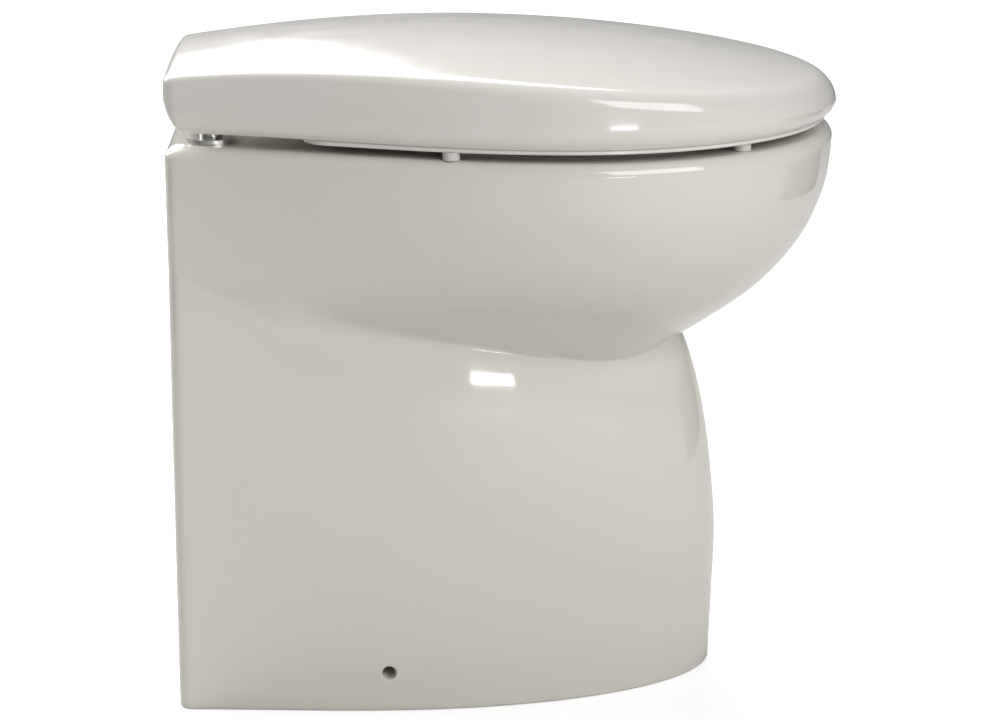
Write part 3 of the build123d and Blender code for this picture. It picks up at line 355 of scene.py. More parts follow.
def noise(tree, scale, detail=3.0, roughness=0.5, stretch=(1.0, 1.0, 1.0)):
    """A noise pattern over the part's own coordinates, in grains per metre."""
    mapping = tree.nodes.new("ShaderNodeMapping")
    put(mapping, "Scale", stretch)
    feed(mapping, "Vector", place_vector(tree))
    texture = tree.nodes.new("ShaderNodeTexNoise")
    put(texture, "Scale", scale)
    put(texture, "Detail", detail)
    put(texture, "Roughness", roughness)
    feed(texture, "Vector", mapping.outputs["Vector"])
    return texture.outputs["Fac"]


def ramp(tree, value, stops):
    """A colour ramp: stops are (place, grey or colour)."""
    node = tree.nodes.new("ShaderNodeValToRGB")
    elements = node.color_ramp.elements
    while len(elements) < len(stops):
        elements.new(0.5)
    for element, (place, colour) in zip(elements, stops):
        element.position = place
        grey = isinstance(colour, float)
        element.color = (colour, colour, colour, 1.0) if grey else (*colour, 1.0)
    feed(node, "Fac", value)
    return node.outputs["Color"]


def blend_colours(tree, factor, first, second):
    """Mixes two colours by a value."""
    node = tree.nodes.new("ShaderNodeMix")
    node.data_type = "RGBA"
    feed(node, "Factor", factor)
    for socket, colour in (("A", first), ("B", second)):
        target = [s for s in node.inputs if s.name == socket and s.type == "RGBA"][0]
        if isinstance(colour, tuple):
            target.default_value = (*colour, 1.0)
        else:
            tree.links.new(colour, target)
    return [s for s in node.outputs if s.type == "RGBA"][0]


def bump(tree, shader, layers):
    """Bump from several height patterns: (value, strength, depth in metres)."""
    normal = None
    for value, strength, depth in layers:
        node = tree.nodes.new("ShaderNodeBump")
        put(node, "Strength", strength)
        put(node, "Distance", depth)
        feed(node, "Height", value)
        if normal is not None:
            feed(node, "Normal", normal)
        normal = node.outputs["Normal"]
    feed(shader, "Normal", normal)


def glaze(name, colour, warm, rough_low, rough_high):
    """Thick glossy glaze: even colour with a faint warm drift, and a slow ripple in the gloss."""
    material, tree, shader = new_material(name)
    drift = ramp(tree, noise(tree, 7.0, 2.0), [(0.35, 0.0), (0.65, 1.0)])
    base = blend_colours(tree, drift, colour, warm)
    specks = ramp(tree, noise(tree, 900.0, 1.0), [(0.2, 0.0), (0.24, 1.0)])
    speck_colour = tuple(c * 0.93 for c in colour)
    feed(shader, "Base Color", blend_colours(tree, specks, speck_colour, base))
    gloss = ramp(tree, noise(tree, 30.0, 3.0), [(0.3, rough_low), (0.7, rough_high)])
    feed(shader, "Roughness", gloss)
    put(shader, "IOR", 1.52)
    put(shader, "Coat Weight", 0.3)
    put(shader, "Coat Roughness", 0.03)
    bump(tree, shader, [(noise(tree, 22.0, 1.0), 0.05, 0.0012), (noise(tree, 260.0, 2.0), 0.04, 0.00008)])
    return material


def rough_clay(name):
    """Unglazed fired clay with a wiped, patchy wash of glaze."""
    material, tree, shader = new_material(name)
    patches = ramp(tree, noise(tree, 24.0, 5.0, 0.6), [(0.4, 0.0), (0.6, 1.0)])
    feed(shader, "Base Color", blend_colours(tree, patches, (0.58, 0.55, 0.5), (0.66, 0.63, 0.58)))
    wash = ramp(tree, noise(tree, 24.0, 5.0, 0.6), [(0.4, 0.75), (0.6, 0.45)])
    feed(shader, "Roughness", wash)
    bump(tree, shader, [(noise(tree, 40.0, 4.0), 0.3, 0.0012), (noise(tree, 700.0, 3.0), 0.3, 0.0002)])
    return material


def moulded_plastic(name, colour, rough, grain=900.0, depth=0.00012, fade=0.12):
    """Injection-moulded plastic: fine grain, faint flow marks and scuffs."""
    material, tree, shader = new_material(name)
    second = tuple(min(1.0, c * (1 + fade) + 0.004) for c in colour)
    flow = ramp(tree, noise(tree, 14.0, 3.0, 0.55, (1.0, 1.0, 3.0)), [(0.3, 0.0), (0.7, 1.0)])
    feed(shader, "Base Color", blend_colours(tree, flow, colour, second))
    scuff = ramp(tree, noise(tree, 60.0, 6.0, 0.7), [(0.35, rough * 0.85), (0.7, min(1.0, rough * 1.25))])
    feed(shader, "Roughness", scuff)
    bump(tree, shader, [(noise(tree, grain, 2.0), 0.35, depth), (noise(tree, 18.0, 2.0), 0.1, 0.0006)])
    return material


def brushed_metal(name, colour, rough, stretch, scale=60.0):
    """Metal with fine drawn lines along one direction and a little tarnish."""
    material, tree, shader = new_material(name)
    tarnish = ramp(tree, noise(tree, 30.0, 4.0), [(0.35, 0.0), (0.7, 1.0)])
    dull = tuple(c * 0.82 for c in colour)
    feed(shader, "Base Color", blend_colours(tree, tarnish, colour, dull))
    put(shader, "Metallic", 1.0)
    lines = noise(tree, scale, 4.0, 0.6, stretch)
    feed(shader, "Roughness", ramp(tree, lines, [(0.3, rough * 0.8), (0.7, rough * 1.3)]))
    bump(tree, shader, [(lines, 0.2, 0.00008), (noise(tree, 25.0, 2.0), 0.08, 0.0004)])
    return material


def satin_chrome(name):
    """Satin plating with faint haze and wipe marks."""
    material, tree, shader = new_material(name)
    haze = noise(tree, 45.0, 5.0, 0.65, (1.0, 1.0, 0.4))
    tint = [(0.3, (0.66, 0.65, 0.63)), (0.7, (0.6, 0.59, 0.57))]
    feed(shader, "Base Color", ramp(tree, haze, tint))
    put(shader, "Metallic", 1.0)
    feed(shader, "Roughness", ramp(tree, haze, [(0.35, 0.28), (0.75, 0.4)]))
    bump(tree, shader, [(noise(tree, 30.0, 1.0), 0.06, 0.0005)])
    return material


def soft_rubber(name, colour, rough=0.6):
    """Moulded rubber with a dusty bloom."""
    material, tree, shader = new_material(name)
    bloom = ramp(tree, noise(tree, 35.0, 5.0, 0.6), [(0.4, 0.0), (0.75, 1.0)])
    dusty = tuple(c * 0.85 + 0.03 for c in colour)
    feed(shader, "Base Color", blend_colours(tree, bloom, colour, dusty))
    rubbed = [(0.3, rough * 0.85), (0.7, min(1.0, rough * 1.2))]
    feed(shader, "Roughness", ramp(tree, noise(tree, 80.0, 4.0), rubbed))
    bump(tree, shader, [(noise(tree, 1200.0, 2.0), 0.4, 0.0001), (noise(tree, 50.0, 2.0), 0.15, 0.0004)])
    return material


def milky_hose(name):
    """Translucent, milky plastic hose."""
    material, tree, shader = new_material(name)
    cloud = ramp(tree, noise(tree, 30.0, 4.0), [(0.3, 0.0), (0.7, 1.0)])
    feed(shader, "Base Color", blend_colours(tree, cloud, (0.62, 0.66, 0.66), (0.72, 0.74, 0.72)))
    put(shader, "Transmission Weight", 0.25)
    put(shader, "IOR", 1.45)
    feed(shader, "Roughness", ramp(tree, noise(tree, 50.0, 3.0), [(0.3, 0.22), (0.7, 0.38)]))
    bump(tree, shader, [(noise(tree, 150.0, 2.0, 0.5, (1.0, 1.0, 3.0)), 0.15, 0.0003)])
    return material


def speckled_iron(name, colour, rough, metallic):
    """Cast or laminated iron and ferrite: dark, dull, with fine layers."""
    material, tree, shader = new_material(name)
    grain = noise(tree, 420.0, 4.0, 0.6, (0.15, 1.0, 0.15))
    light = tuple(c * 1.35 for c in colour)
    layers = ramp(tree, grain, [(0.35, 0.0), (0.65, 1.0)])
    feed(shader, "Base Color", blend_colours(tree, layers, colour, light))
    put(shader, "Metallic", metallic)
    feed(shader, "Roughness", ramp(tree, grain, [(0.3, rough * 0.85), (0.7, rough * 1.15)]))
    bump(tree, shader, [(grain, 0.4, 0.00012)])
    return material


def satin_enamel(name, colour):
    """Stoved enamel on a steel can: a fine orange peel and rubbed gloss."""
    material, tree, shader = new_material(name)
    rub = ramp(tree, noise(tree, 26.0, 5.0, 0.6), [(0.35, 0.0), (0.7, 1.0)])
    worn = tuple(c * 1.3 + 0.01 for c in colour)
    feed(shader, "Base Color", blend_colours(tree, rub, colour, worn))
    feed(shader, "Roughness", ramp(tree, noise(tree, 40.0, 4.0), [(0.3, 0.26), (0.7, 0.42)]))
    put(shader, "Coat Weight", 0.2)
    put(shader, "Coat Roughness", 0.15)
    bump(tree, shader, [(noise(tree, 500.0, 1.0), 0.25, 0.00012)])
    return material


lacquer_white = (0.735, 0.708, 0.668)
lacquer_warm = (0.74, 0.71, 0.662)
china_glaze = glaze("china_glaze", (0.71, 0.684, 0.63), (0.718, 0.688, 0.622), 0.05, 0.09)
lid_lacquer = glaze("lid_lacquer", lacquer_white, lacquer_warm, 0.1, 0.16)
seat_lacquer = glaze("seat_lacquer", lacquer_white, lacquer_warm, 0.1, 0.15)
clay = rough_clay("fired_clay")

cad_materials = {
    "hinge_chrome": satin_chrome("hinge_chrome"),
    "stainless_steel": brushed_metal("stainless_steel", (0.62, 0.62, 0.61), 0.28, (1.0, 1.0, 12.0)),
    "black_rubber": soft_rubber("black_rubber", (0.022, 0.022, 0.023)),
    "buffer_rubber": soft_rubber("buffer_rubber", (0.62, 0.605, 0.57), 0.45),
    "nut_plastic": moulded_plastic("nut_plastic", (0.62, 0.61, 0.58), 0.42),
    "bracket_plastic": moulded_plastic("bracket_plastic", (0.55, 0.54, 0.51), 0.45),
    "pump_plastic": moulded_plastic("pump_plastic", (0.028, 0.029, 0.031), 0.42, 700.0, 0.0002, 0.3),
    "cast_aluminium": brushed_metal("cast_aluminium", (0.5, 0.51, 0.52), 0.42, (1.0, 1.0, 1.0), 320.0),
    "motor_enamel": satin_enamel("motor_enamel", (0.03, 0.033, 0.037)),
    "magnet_ferrite": speckled_iron("magnet_ferrite", (0.07, 0.07, 0.074), 0.6, 0.2),
    "armature_iron": speckled_iron("armature_iron", (0.24, 0.22, 0.2), 0.4, 0.8),
    "impeller_plastic": moulded_plastic("impeller_plastic", (0.13, 0.13, 0.14), 0.4),
    "valve_rubber": soft_rubber("valve_rubber", (0.05, 0.05, 0.05), 0.5),
    "hose_plastic": milky_hose("hose_plastic"),
    "pipe_plastic": moulded_plastic("pipe_plastic", (0.58, 0.57, 0.54), 0.35),
    "vitreous_china": china_glaze,
    "lid_plastic": lid_lacquer,
    "seat_plastic": seat_lacquer,
}
for entry in frame["record"]["subparts"]:
    cad_mesh = nodes[entry["node"]].data
    cad_mesh.materials.clear()
    cad_mesh.materials.append(cad_materials[entry["material_slot"]])

# China: reach of its outside from an upright line inside it, by angle from the back and height
hub_from_back = 182.0
hub_y = back - hub_from_back
back_columns = 12
corner_columns = 46
round_columns = 170
corner_from = math.radians(23.0)
corner_to = math.radians(33.0)
angles = np.concatenate(
    [
        np.linspace(0, corner_from, back_columns, endpoint=False),
        np.linspace(corner_from, corner_to, corner_columns, endpoint=False),
        np.linspace(corner_to, math.pi, round_columns),
    ]
)
bowl_side = smooth_table(bowl_drop_shares, bowl_side_shares)
bowl_front = smooth_table(bowl_drop_shares, bowl_front_shares)
bowl_rear = smooth_table(bowl_drop_shares, bowl_rear_shares)
pedestal_wide = smooth_table(pedestal_height_shares, pedestal_width_shares)
pedestal_rear = smooth_table(pedestal_height_shares, pedestal_rear_shares)
pedestal_front = smooth_table(pedestal_height_shares, pedestal_front_shares)


def bowl_reach(height, wall=0.0):
    """Reach of the bowl's outside at one height, drawn in by a wall."""
    drop = (rim_height - height) / bowl_depth
    side = float(bowl_side(drop)) * overall_width
    front = float(bowl_front(drop)) * overall_width
    rear = float(bowl_rear(drop)) * rear_width
    section = plan(
        overall_width / 2 - side - wall,
        rear_width / 2 - rear - wall,
        tip + front + wall,
        widest,
        back - wall,
        china_corner,
    )
    return reach_from(section, hub_y, angles)


def pedestal_reach(height, wall=0.0):
    """Reach of the pedestal's outside at one height, drawn in by a wall."""
    place = height / pedestal_top_height
    section = plan(
        pedestal_width / 2 * float(pedestal_wide(place)) - wall,
        pedestal_rear_width / 2 * float(pedestal_rear(place)) - wall,
        back - pedestal_depth * float(pedestal_front(place)) + wall,
        back - pedestal_widest_from_back,
        back - wall,
        china_corner,
    )
    return reach_from(section, hub_y, angles)


grid_levels = 210
fade_below = 2.0
fade_above = 0.5


def reach_grids(wall):
    """Reach of bowl and pedestal at every step of height; past its own end each one shrinks."""
    heights = np.linspace(0, rim_height, grid_levels)
    bowl = np.array([bowl_reach(max(z, bowl_bottom_height), wall) for z in heights])
    pedestal = np.array([pedestal_reach(min(z, pedestal_top_height), wall) for z in heights])
    below = heights < bowl_bottom_height
    above = heights > pedestal_top_height
    bowl[below] -= (bowl_bottom_height - heights[below])[:, None] * fade_below
    pedestal[above] -= (heights[above] - pedestal_top_height)[:, None] * fade_above
    return heights, bowl, pedestal


# Width of the soft crease between bowl and pedestal: wide at the rear, narrow in front and at the corner
crease_soft_front = 4.0
crease_soft_rear = 20.0
crease_widens_from = math.radians(95.0)
crease_widens_over = math.radians(50.0)
crease_fades_over = math.radians(12.0)
sharpest_share = 0.001
rear_share = np.clip((crease_widens_from - angles) / crease_widens_over, 0, 1)
corner_share = np.clip((angles - corner_to) / crease_fades_over, sharpest_share, 1)
crease_soft = crease_soft_front + (crease_soft_rear - crease_soft_front) * rear_share**1.5
crease_soft = crease_soft * corner_share


def joined(grids, columns_z):
    """Reach of the bowl and pedestal joined with a soft crease, at a height for each column."""
    heights, bowl, pedestal = grids
    step = heights[1] - heights[0]
    place = np.clip(columns_z / step, 0, len(heights) - 1.001)
    low = place.astype(int)
    part = place - low
    column = np.arange(len(angles))
    first = bowl[low, column] * (1 - part) + bowl[low + 1, column] * part
    second = pedestal[low, column] * (1 - part) + pedestal[low + 1, column] * part
    overlap = np.maximum(crease_soft - np.abs(first - second), 0) / crease_soft
    return np.maximum(first, second) + overlap**2 * crease_soft / 4


def around(reach):
    """A closed loop from the reach of each column."""
    half = np.stack([reach * np.sin(angles), hub_y + reach * np.cos(angles)], 1)
    half[0, 0] = 0.0
    half[-1, 0] = 0.0
    return whole(half)


def whole_heights(columns_z):
    """Heights of the closed loop's points from those of the columns."""
    return np.concatenate([columns_z, columns_z[-2:0:-1]])


outer = reach_grids(0.0)
inner = reach_grids(china_wall)
difference = outer[1] - outer[2]
crease_line = np.array(
    [outer[0][np.argmax(difference[:, j] > 0)] for j in range(len(angles))], float
)
crease_line = np.clip(crease_line, bowl_bottom_height, pedestal_top_height)
smoothed_beside = 12
smoothed = smoothed_beside * 2 + 1
padded_line = np.pad(crease_line, smoothed_beside, mode="edge")
crease_line = np.convolve(padded_line, np.ones(smoothed) / smoothed, mode="valid")

foot_rows = 6
lower_rows = 70
upper_rows = 80
crease_power = 1.6


def outside_rows():
    """Loops of the china's outside, from the foot to the start of the rim's round."""
    rows = []
    foot = joined(outer, np.full(len(angles), foot_round))
    for step in range(foot_rows):
        turn = step / foot_rows * math.pi / 2
        reach = foot - foot_round * (1 - math.sin(turn))
        rows.append(level(around(reach), foot_round * (1 - math.cos(turn))))
    for step in range(lower_rows):
        share = 1 - (1 - step / lower_rows) ** crease_power
        z = foot_round + (crease_line - foot_round) * share
        rows.append(level(around(joined(outer, z)), whole_heights(z)))
    top = rim_height - rim_round
    for step in range(upper_rows + 1):
        share = (step / upper_rows) ** crease_power
        z = crease_line + (top - crease_line) * share
        rows.append(level(around(joined(outer, z)), whole_heights(z)))
    for turn in quarter_turns(10):
        inset = rim_round * (1 - math.cos(turn))
        reach = bowl_reach(top + rim_round * math.sin(turn), inset)
        rows.append(level(around(reach), top + rim_round * math.sin(turn)))
    return rows


def oval_loop(half_width, half_length, centre):
    """A closed loop of an oval, met by the same columns."""
    return around(reach_from(oval(half_width, half_length, centre), hub_y, angles))


def opening_loop(grow):
    """The bowl's opening, grown outward."""
    return oval_loop(opening_width / 2 + grow, opening_length / 2 + grow, opening_centre)


def inside_rows(rim_loop):
    """Loops of the rim's top, the lip, the rinse channel under it, and the bowl down to its sump."""
    rows = []
    lip_round = lip_thickness / 2
    lip_edge = opening_loop(lip_round)
    for step in range(1, 9):
        share = step / 8
        rows.append(level(rim_loop * (1 - share) + lip_edge * share, rim_height))
    for turn in quarter_turns(8):
        loop = opening_loop(lip_round * (1 - math.sin(turn)))
        rows.append(level(loop, rim_height - lip_round * (1 - math.cos(turn))))
    for turn in np.linspace(0, math.pi, 13)[1:]:
        loop = opening_loop(lip_round * (1 - math.cos(turn)))
        rows.append(level(loop, lip_foot + lip_round - lip_round * math.sin(turn)))
    for across, height in (
        (lip_thickness, gallery_top - channel_round),
        (lip_thickness + channel_round, gallery_top),
        (lip_thickness + gallery_width - channel_round, gallery_top),
        (lip_thickness + gallery_width, gallery_top - channel_round),
    ):
        rows.append(level(opening_loop(across), height))
    rows += well_rows(0.0)
    return rows


well_swell = smooth_table(well_place_shares, well_swell_shares)
well_steps = 64


def well_rows(wall):
    """Loops of the bowl's inside from under the lip to the sump, grown by a wall."""
    rows = []
    floor = sump_floor - wall
    for step in range(well_steps + 1):
        share = step / well_steps * (lip_foot - floor - sump_round) / (lip_foot - floor)
        swell = float(well_swell(share))
        loop = oval_loop(
            sump_radius + wall + (gallery_half_width - sump_radius) * swell,
            sump_radius + wall + (gallery_half_length - sump_radius) * swell,
            sump_centre + (opening_centre - sump_centre) * swell,
        )
        rows.append(level(loop, lip_foot - share * (lip_foot - floor)))
    for turn in quarter_turns(8):
        radius = sump_radius + wall - sump_round * (1 - math.cos(turn))
        loop = oval_loop(radius, radius, sump_centre)
        rows.append(level(loop, floor + sump_round * (1 - math.sin(turn))))
    return rows


def paint_faces(thing, first, second, second_everywhere):
    """Gives a mesh two finishes; all its faces get one of them."""
    thing.data.materials.clear()
    thing.data.materials.append(first)
    thing.data.materials.append(second)
    thing.data.polygons.foreach_set(
        "material_index", [int(second_everywhere)] * len(thing.data.polygons)
    )


def round_bar(name, radius, start, end, centre, axis, flare=0.0, flare_at=None, sides=64):
    """A closed round bar along X, Y or Z; with a flare, its mouth widens in a quarter round."""
    places = [(start, radius)]
    if flare:
        deep = math.copysign(flare, end - start)
        for turn in [0.0, *quarter_turns(8)]:
            grow = flare * (1 - math.cos(turn))
            places.append((flare_at - deep * (1 - math.sin(turn)), radius + grow))
        places.append((end, radius + flare))
    else:
        places.append((end, radius))
    rows = []
    for place, size in places:
        turns = np.linspace(0, 2 * math.pi, sides, endpoint=False)
        u = size * np.cos(turns)
        v = size * np.sin(turns)
        along = np.full(sides, place)
        if axis == "X":
            row = np.stack([along, centre[0] + u, centre[1] + v], 1)
        elif axis == "Y":
            row = np.stack([centre[0] - u, along, centre[1] + v], 1)
        else:
            row = np.stack([centre[0] + u, centre[1] + v, along], 1)
        rows.append(row)
    if end < start:
        rows = rows[::-1]
    return skinned(name, rows, clay)


def block(name, low, high):
    """A closed block between two corners."""
    xs, ys, zs = zip(low, high)
    points = [(x, y, z) for z in zs for y in ys for x in xs]
    faces = [(0, 2, 3, 1), (4, 5, 7, 6), (0, 1, 5, 4), (2, 6, 7, 3), (0, 4, 6, 2), (1, 3, 7, 5)]
    return build_mesh(name, np.array(points, float), faces, clay)


def window_cutter():
    """What the opening in the back takes away, with a quarter round at its outer edge."""
    rows = []
    start = back - window_edge
    profile = [(back - china_wall - overrun * 4, 0.0), (start, 0.0)]
    for turn in quarter_turns(8):
        profile.append((start + window_edge * math.sin(turn), window_edge * (1 - math.cos(turn))))
    profile.append((back + overrun, window_edge))
    for y, grow in profile:
        half = window_width / 2 + grow
        top = window_height + grow
        corner = window_corner + grow
        turns = np.linspace(0, math.pi / 2, 10)
        right = np.stack([np.cos(turns), np.sin(turns)], 1) * corner + [half - corner, top - corner]
        left = right[::-1] * np.array([-1.0, 1.0])
        foot = np.array([[-half, -overrun * 2], [half, -overrun * 2]])
        loop = np.concatenate([right, left, foot])
        rows.append(np.column_stack([loop[:, 0], np.full(len(loop), y), loop[:, 1]]))
    return skinned("window_cutter", rows[::-1], clay)


def make_china():
    """The bowl with its skirt: glazed outside and bowl, bare clay in the hollow for the pumps."""
    rows = outside_rows()
    rows += inside_rows(rows[-1][:, :2])
    china = skinned("china_with_skirt", rows, china_glaze)
    paint_faces(china, china_glaze, clay, False)

    heights = np.linspace(-overrun, rim_height - deck_thickness, 110)
    hollow_rows = [
        level(around(joined(inner, np.full(len(angles), max(z, 0.0)))), z) for z in heights
    ]
    hollow = skinned("hollow", hollow_rows, clay)
    shell_loop = opening_loop(lip_thickness + gallery_width + well_wall)
    shell_rows = [level(shell_loop, rim_height - deck_thickness / 2)]
    shell_rows += well_rows(well_wall)
    combine(hollow, skinned("well_shell", shell_rows, clay), "DIFFERENCE")
    horn = round_bar("horn", horn_radius, sump_centre, horn_end, (0, horn_height), "Y")
    combine(hollow, horn, "DIFFERENCE")
    inlet = (0, rim_inlet_height)
    inlet_start = opening_centre + gallery_half_length
    inlet_end = inlet_start + well_wall * 2
    boss = round_bar("boss", rim_inlet_radius + well_wall, inlet_start, inlet_end, inlet, "Y")
    combine(hollow, boss, "DIFFERENCE")
    hole_y = back - side_hole_from_back
    for side in (-1, 1):
        ends = sorted((side * bracket_plane, side * (pedestal_width / 2)))
        pad = block(
            "pad",
            (ends[0], hole_y - side_pad_half, side_hole_height - side_pad_half),
            (ends[1], hole_y + side_pad_half, side_hole_height + side_pad_half),
        )
        combine(hollow, pad, "DIFFERENCE")
    paint_faces(hollow, china_glaze, clay, True)
    combine(china, hollow, "DIFFERENCE")

    cutters = [
        window_cutter(),
        round_bar("bore", horn_bore_radius, sump_centre, horn_end + overrun, (0, horn_height), "Y"),
        round_bar(
            "inlet", rim_inlet_radius, inlet_start - gallery_width / 2, inlet_end + overrun, inlet, "Y"
        ),
    ]
    for side in (-1, 1):
        centre = (side * post_spacing / 2, back - post_from_back)
        low = rim_height - deck_thickness - overrun
        cutters.append(
            round_bar(
                "stud_hole",
                stud_hole_radius,
                low,
                rim_height + overrun,
                centre,
                "Z",
                stud_hole_edge,
                rim_height,
            )
        )
        wall_x = side_wall_x(hole_y, side_hole_height)
        cutters.append(
            round_bar(
                "side_hole",
                side_hole_radius,
                side * (bracket_plane - overrun),
                side * (wall_x + overrun * 2),
                (hole_y, side_hole_height),
                "X",
                side_hole_edge,
                side * wall_x,
            )
        )
    for cutter in cutters:
        paint_faces(cutter, china_glaze, clay, False)
        combine(china, cutter, "DIFFERENCE")
    return finish_edges(china)


def side_wall_x(y, height):
    """Where the china's outer side stands at a place along its depth and a height."""
    reach = joined(outer, np.full(len(angles), height))
    x = reach * np.sin(angles)
    along = hub_y + reach * np.cos(angles)
    beside = (angles > corner_to) & (angles < math.radians(150.0))
    return float(np.interp(-y, -along[beside], x[beside]))


china = make_china()
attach(china, "base")
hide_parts("china_bowl")


# Lid
lid_rise_shares = (0.0, 0.06, 0.14, 0.23, 0.47, 0.72, 1.0)
lid_tuck_shares = (1.0, 0.5, 0.15, 0.0, 0.08, 0.3, 0.7)
lid_tuck = smooth_table(lid_rise_shares, lid_tuck_shares)
lid_rise = crown_height + overrun - lid_edge_height
lid_top_tuck = 0.3
top_round_rear = 6.0
top_round_front = 17.0
hollow_round_rear = 3.0
hollow_round_front = 8.0
inset_step = 0.5
inset_reach = 48.0
side_steps = 18
round_steps = 14
crown_steps = 29
axis_y = back - axis_from_back
lug_inner = post_spacing / 2 + post_radius + arm_gap
arm_outer = post_spacing / 2 - post_radius - arm_gap


def dome_height(x, y, below=0.0):
    """Height of the lid's crown over a place, or of a shell that lies below it."""
    across = x**2 + (y - (back - crown_from_back)) ** 2
    return crown_height - dome_radius + np.sqrt((dome_radius - below) ** 2 - across)


def lid_loop(inset):
    """The lid's plan, drawn in; by index, so that all loops match."""
    return whole(
        plan(
            overall_width / 2 - inset,
            rear_width / 2 - inset,
            tip + inset,
            widest,
            back - inset,
            max(lid_corner - inset, 2.0),
        )
    )


def lid_low_edge(loop):
    """Height of the lid's lower edge, which turns up at the back."""
    past = np.clip(loop[:, 1] - (back - lid_end_round), 0, lid_end_round * 0.995)
    return lid_edge_height + lid_end_round - np.sqrt(lid_end_round**2 - past**2)


def lid_rows(wall, top_wall, drop, round_rear, round_front):
    """Loops of the lid's form, from its lower edge to near the middle of its crown."""
    outline = lid_loop(0.0)
    low = lid_low_edge(outline)
    forward = np.clip((back - outline[:, 1]) / overall_depth, 0, 1)
    rounding = round_rear + (round_front - round_rear) * forward**1.5
    insets = np.arange(0, inset_reach + inset_step, inset_step)
    stack = np.array([lid_loop(inset) for inset in insets])

    def drawn_in(inset):
        """The point of each index at its own inset."""
        place = np.clip(inset / inset_step, 0, len(stack) - 1.001)
        first = place.astype(int)
        part = (place - first)[:, None]
        index = np.arange(len(outline))
        return stack[first, index] * (1 - part) + stack[first + 1, index] * part

    side_top_inset = lid_edge_tuck * lid_top_tuck + wall
    shoulder = drawn_in(np.full(len(outline), side_top_inset))
    shoulder_z = dome_height(shoulder[:, 0], shoulder[:, 1], top_wall) - rounding
    rows = []
    for share in np.linspace(0, 1, side_steps + 1):
        z = (low - drop) + (shoulder_z - low + drop) * share
        tuck = lid_tuck(np.clip((z - low) / lid_rise, 0, 1)) * lid_edge_tuck
        rows.append(level(drawn_in(tuck + wall), z))
    last_inset = tuck + wall
    for share in np.linspace(0, 1, round_steps + 1)[1:]:
        ahead = 1 - math.cos(share * math.pi / 2)
        points = drawn_in(last_inset + rounding * ahead)
        below = rounding * (1 - math.sqrt(max(0.0, 1 - (1 - ahead) ** 2)))
        rows.append(level(points, dome_height(points[:, 0], points[:, 1], top_wall) - below))
    edge = rows[-1][:, :2]
    middle = np.array([0.0, back - crown_from_back])
    for share in np.linspace(0, 1, crown_steps + 1)[1:-1]:
        points = edge * (1 - share) + middle * share
        rows.append(level(points, dome_height(points[:, 0], points[:, 1], top_wall)))
    return rows


def side_plate(name, outline, inner, outer, edge, material):
    """A plate across X from an outline in Y and Z, with its two faces' edges eased."""
    outline = np.asarray(outline, float)
    middle = outline.mean(0)
    size = np.linalg.norm(outline - middle, axis=1)[:, None]
    eased = middle + (outline - middle) * (1 - edge / size)
    rows = []
    for x, points in ((inner, eased), (inner + edge, outline), (outer - edge, outline), (outer, eased)):
        rows.append(np.column_stack([np.full(len(points), x), points]))
    return skinned(name, rows, material)


def turned(points):
    """The outline's points against the clock, seen from +X."""
    y, z = np.asarray(points, float).T
    area = np.sum(y * np.roll(z, -1) - np.roll(y, -1) * z)
    return points if area > 0 else points[::-1]


def arc_points(centre, radius, first, last, count=14):
    """Points of an arc in Y and Z, in degrees."""
    t = np.radians(np.linspace(first, last, count))
    return [(centre[0] + radius * math.cos(a), centre[1] + radius * math.sin(a)) for a in t]


def make_lid():
    """The lid: a crowned shell with a deep edge, open at the back, with two hinge lugs."""
    rows = lid_rows(0.0, 0.0, 0.0, top_round_rear, top_round_front)
    lid = skinned("lid_cover", rows, lid_lacquer)
    rows = lid_rows(lid_skirt_wall, lid_wall, overrun, hollow_round_rear, hollow_round_front)
    combine(lid, skinned("lid_hollow", rows, lid_lacquer), "DIFFERENCE")
    half = rear_width / 2 - lid_corner
    across = np.linspace(half, -half, 24)
    rows = []
    for y in np.linspace(back - lid_corner * 2, back + overrun, 10):
        top = [(x, y, float(dome_height(x, y, lid_wall))) for x in across]
        foot = [(-half, y, lid_edge_height - overrun * 2), (half, y, lid_edge_height - overrun * 2)]
        rows.append(top + foot)
    combine(lid, skinned("back_way", rows, lid_lacquer), "DIFFERENCE")
    axis = (axis_y, axis_height)
    for side in (-1, 1):
        top = float(dome_height(lug_inner, axis_y, lid_wall / 2))
        outline = arc_points(axis, knuckle_radius, 180, 360)
        outline += [(axis_y + knuckle_radius, top), (axis_y - knuckle_radius, top)]
        ends = sorted((side * lug_inner, side * (lug_inner + lug_width)))
        lug = side_plate("lug", turned(outline), ends[0], ends[1], lug_edge, lid_lacquer)
        combine(lid, lug, "UNION")
    reach = lug_inner + lug_width + overrun
    bore = round_bar("pin_bore", pin_bore_radius, -reach, reach, axis, "X")
    paint_faces(bore, lid_lacquer, clay, False)
    combine(lid, bore, "DIFFERENCE")
    return finish_edges(lid)


lid = make_lid()
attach(lid, "lid")
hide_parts("lid_shell")

# Seat
seat_back = back - seat_back_from_back


def seat_loop(inset):
    """The seat's plan: the lid's plan, drawn in and cut off short of the hinge."""
    return whole(
        plan(
            overall_width / 2 - inset,
            rear_width / 2 - inset,
            tip + inset,
            widest,
            back,
            seat_back_corner,
            seat_back,
        )
    )


def hole_loop(like, grow):
    """The seat's hole, with a point for each point of another loop."""
    half_width = seat_hole_width / 2 + grow
    half_length = seat_hole_length / 2 + grow
    t = np.arctan2(like[:, 0] / half_width, (like[:, 1] - opening_centre) / half_length)
    return np.stack([half_width * np.sin(t), opening_centre + half_length * np.cos(t)], 1)


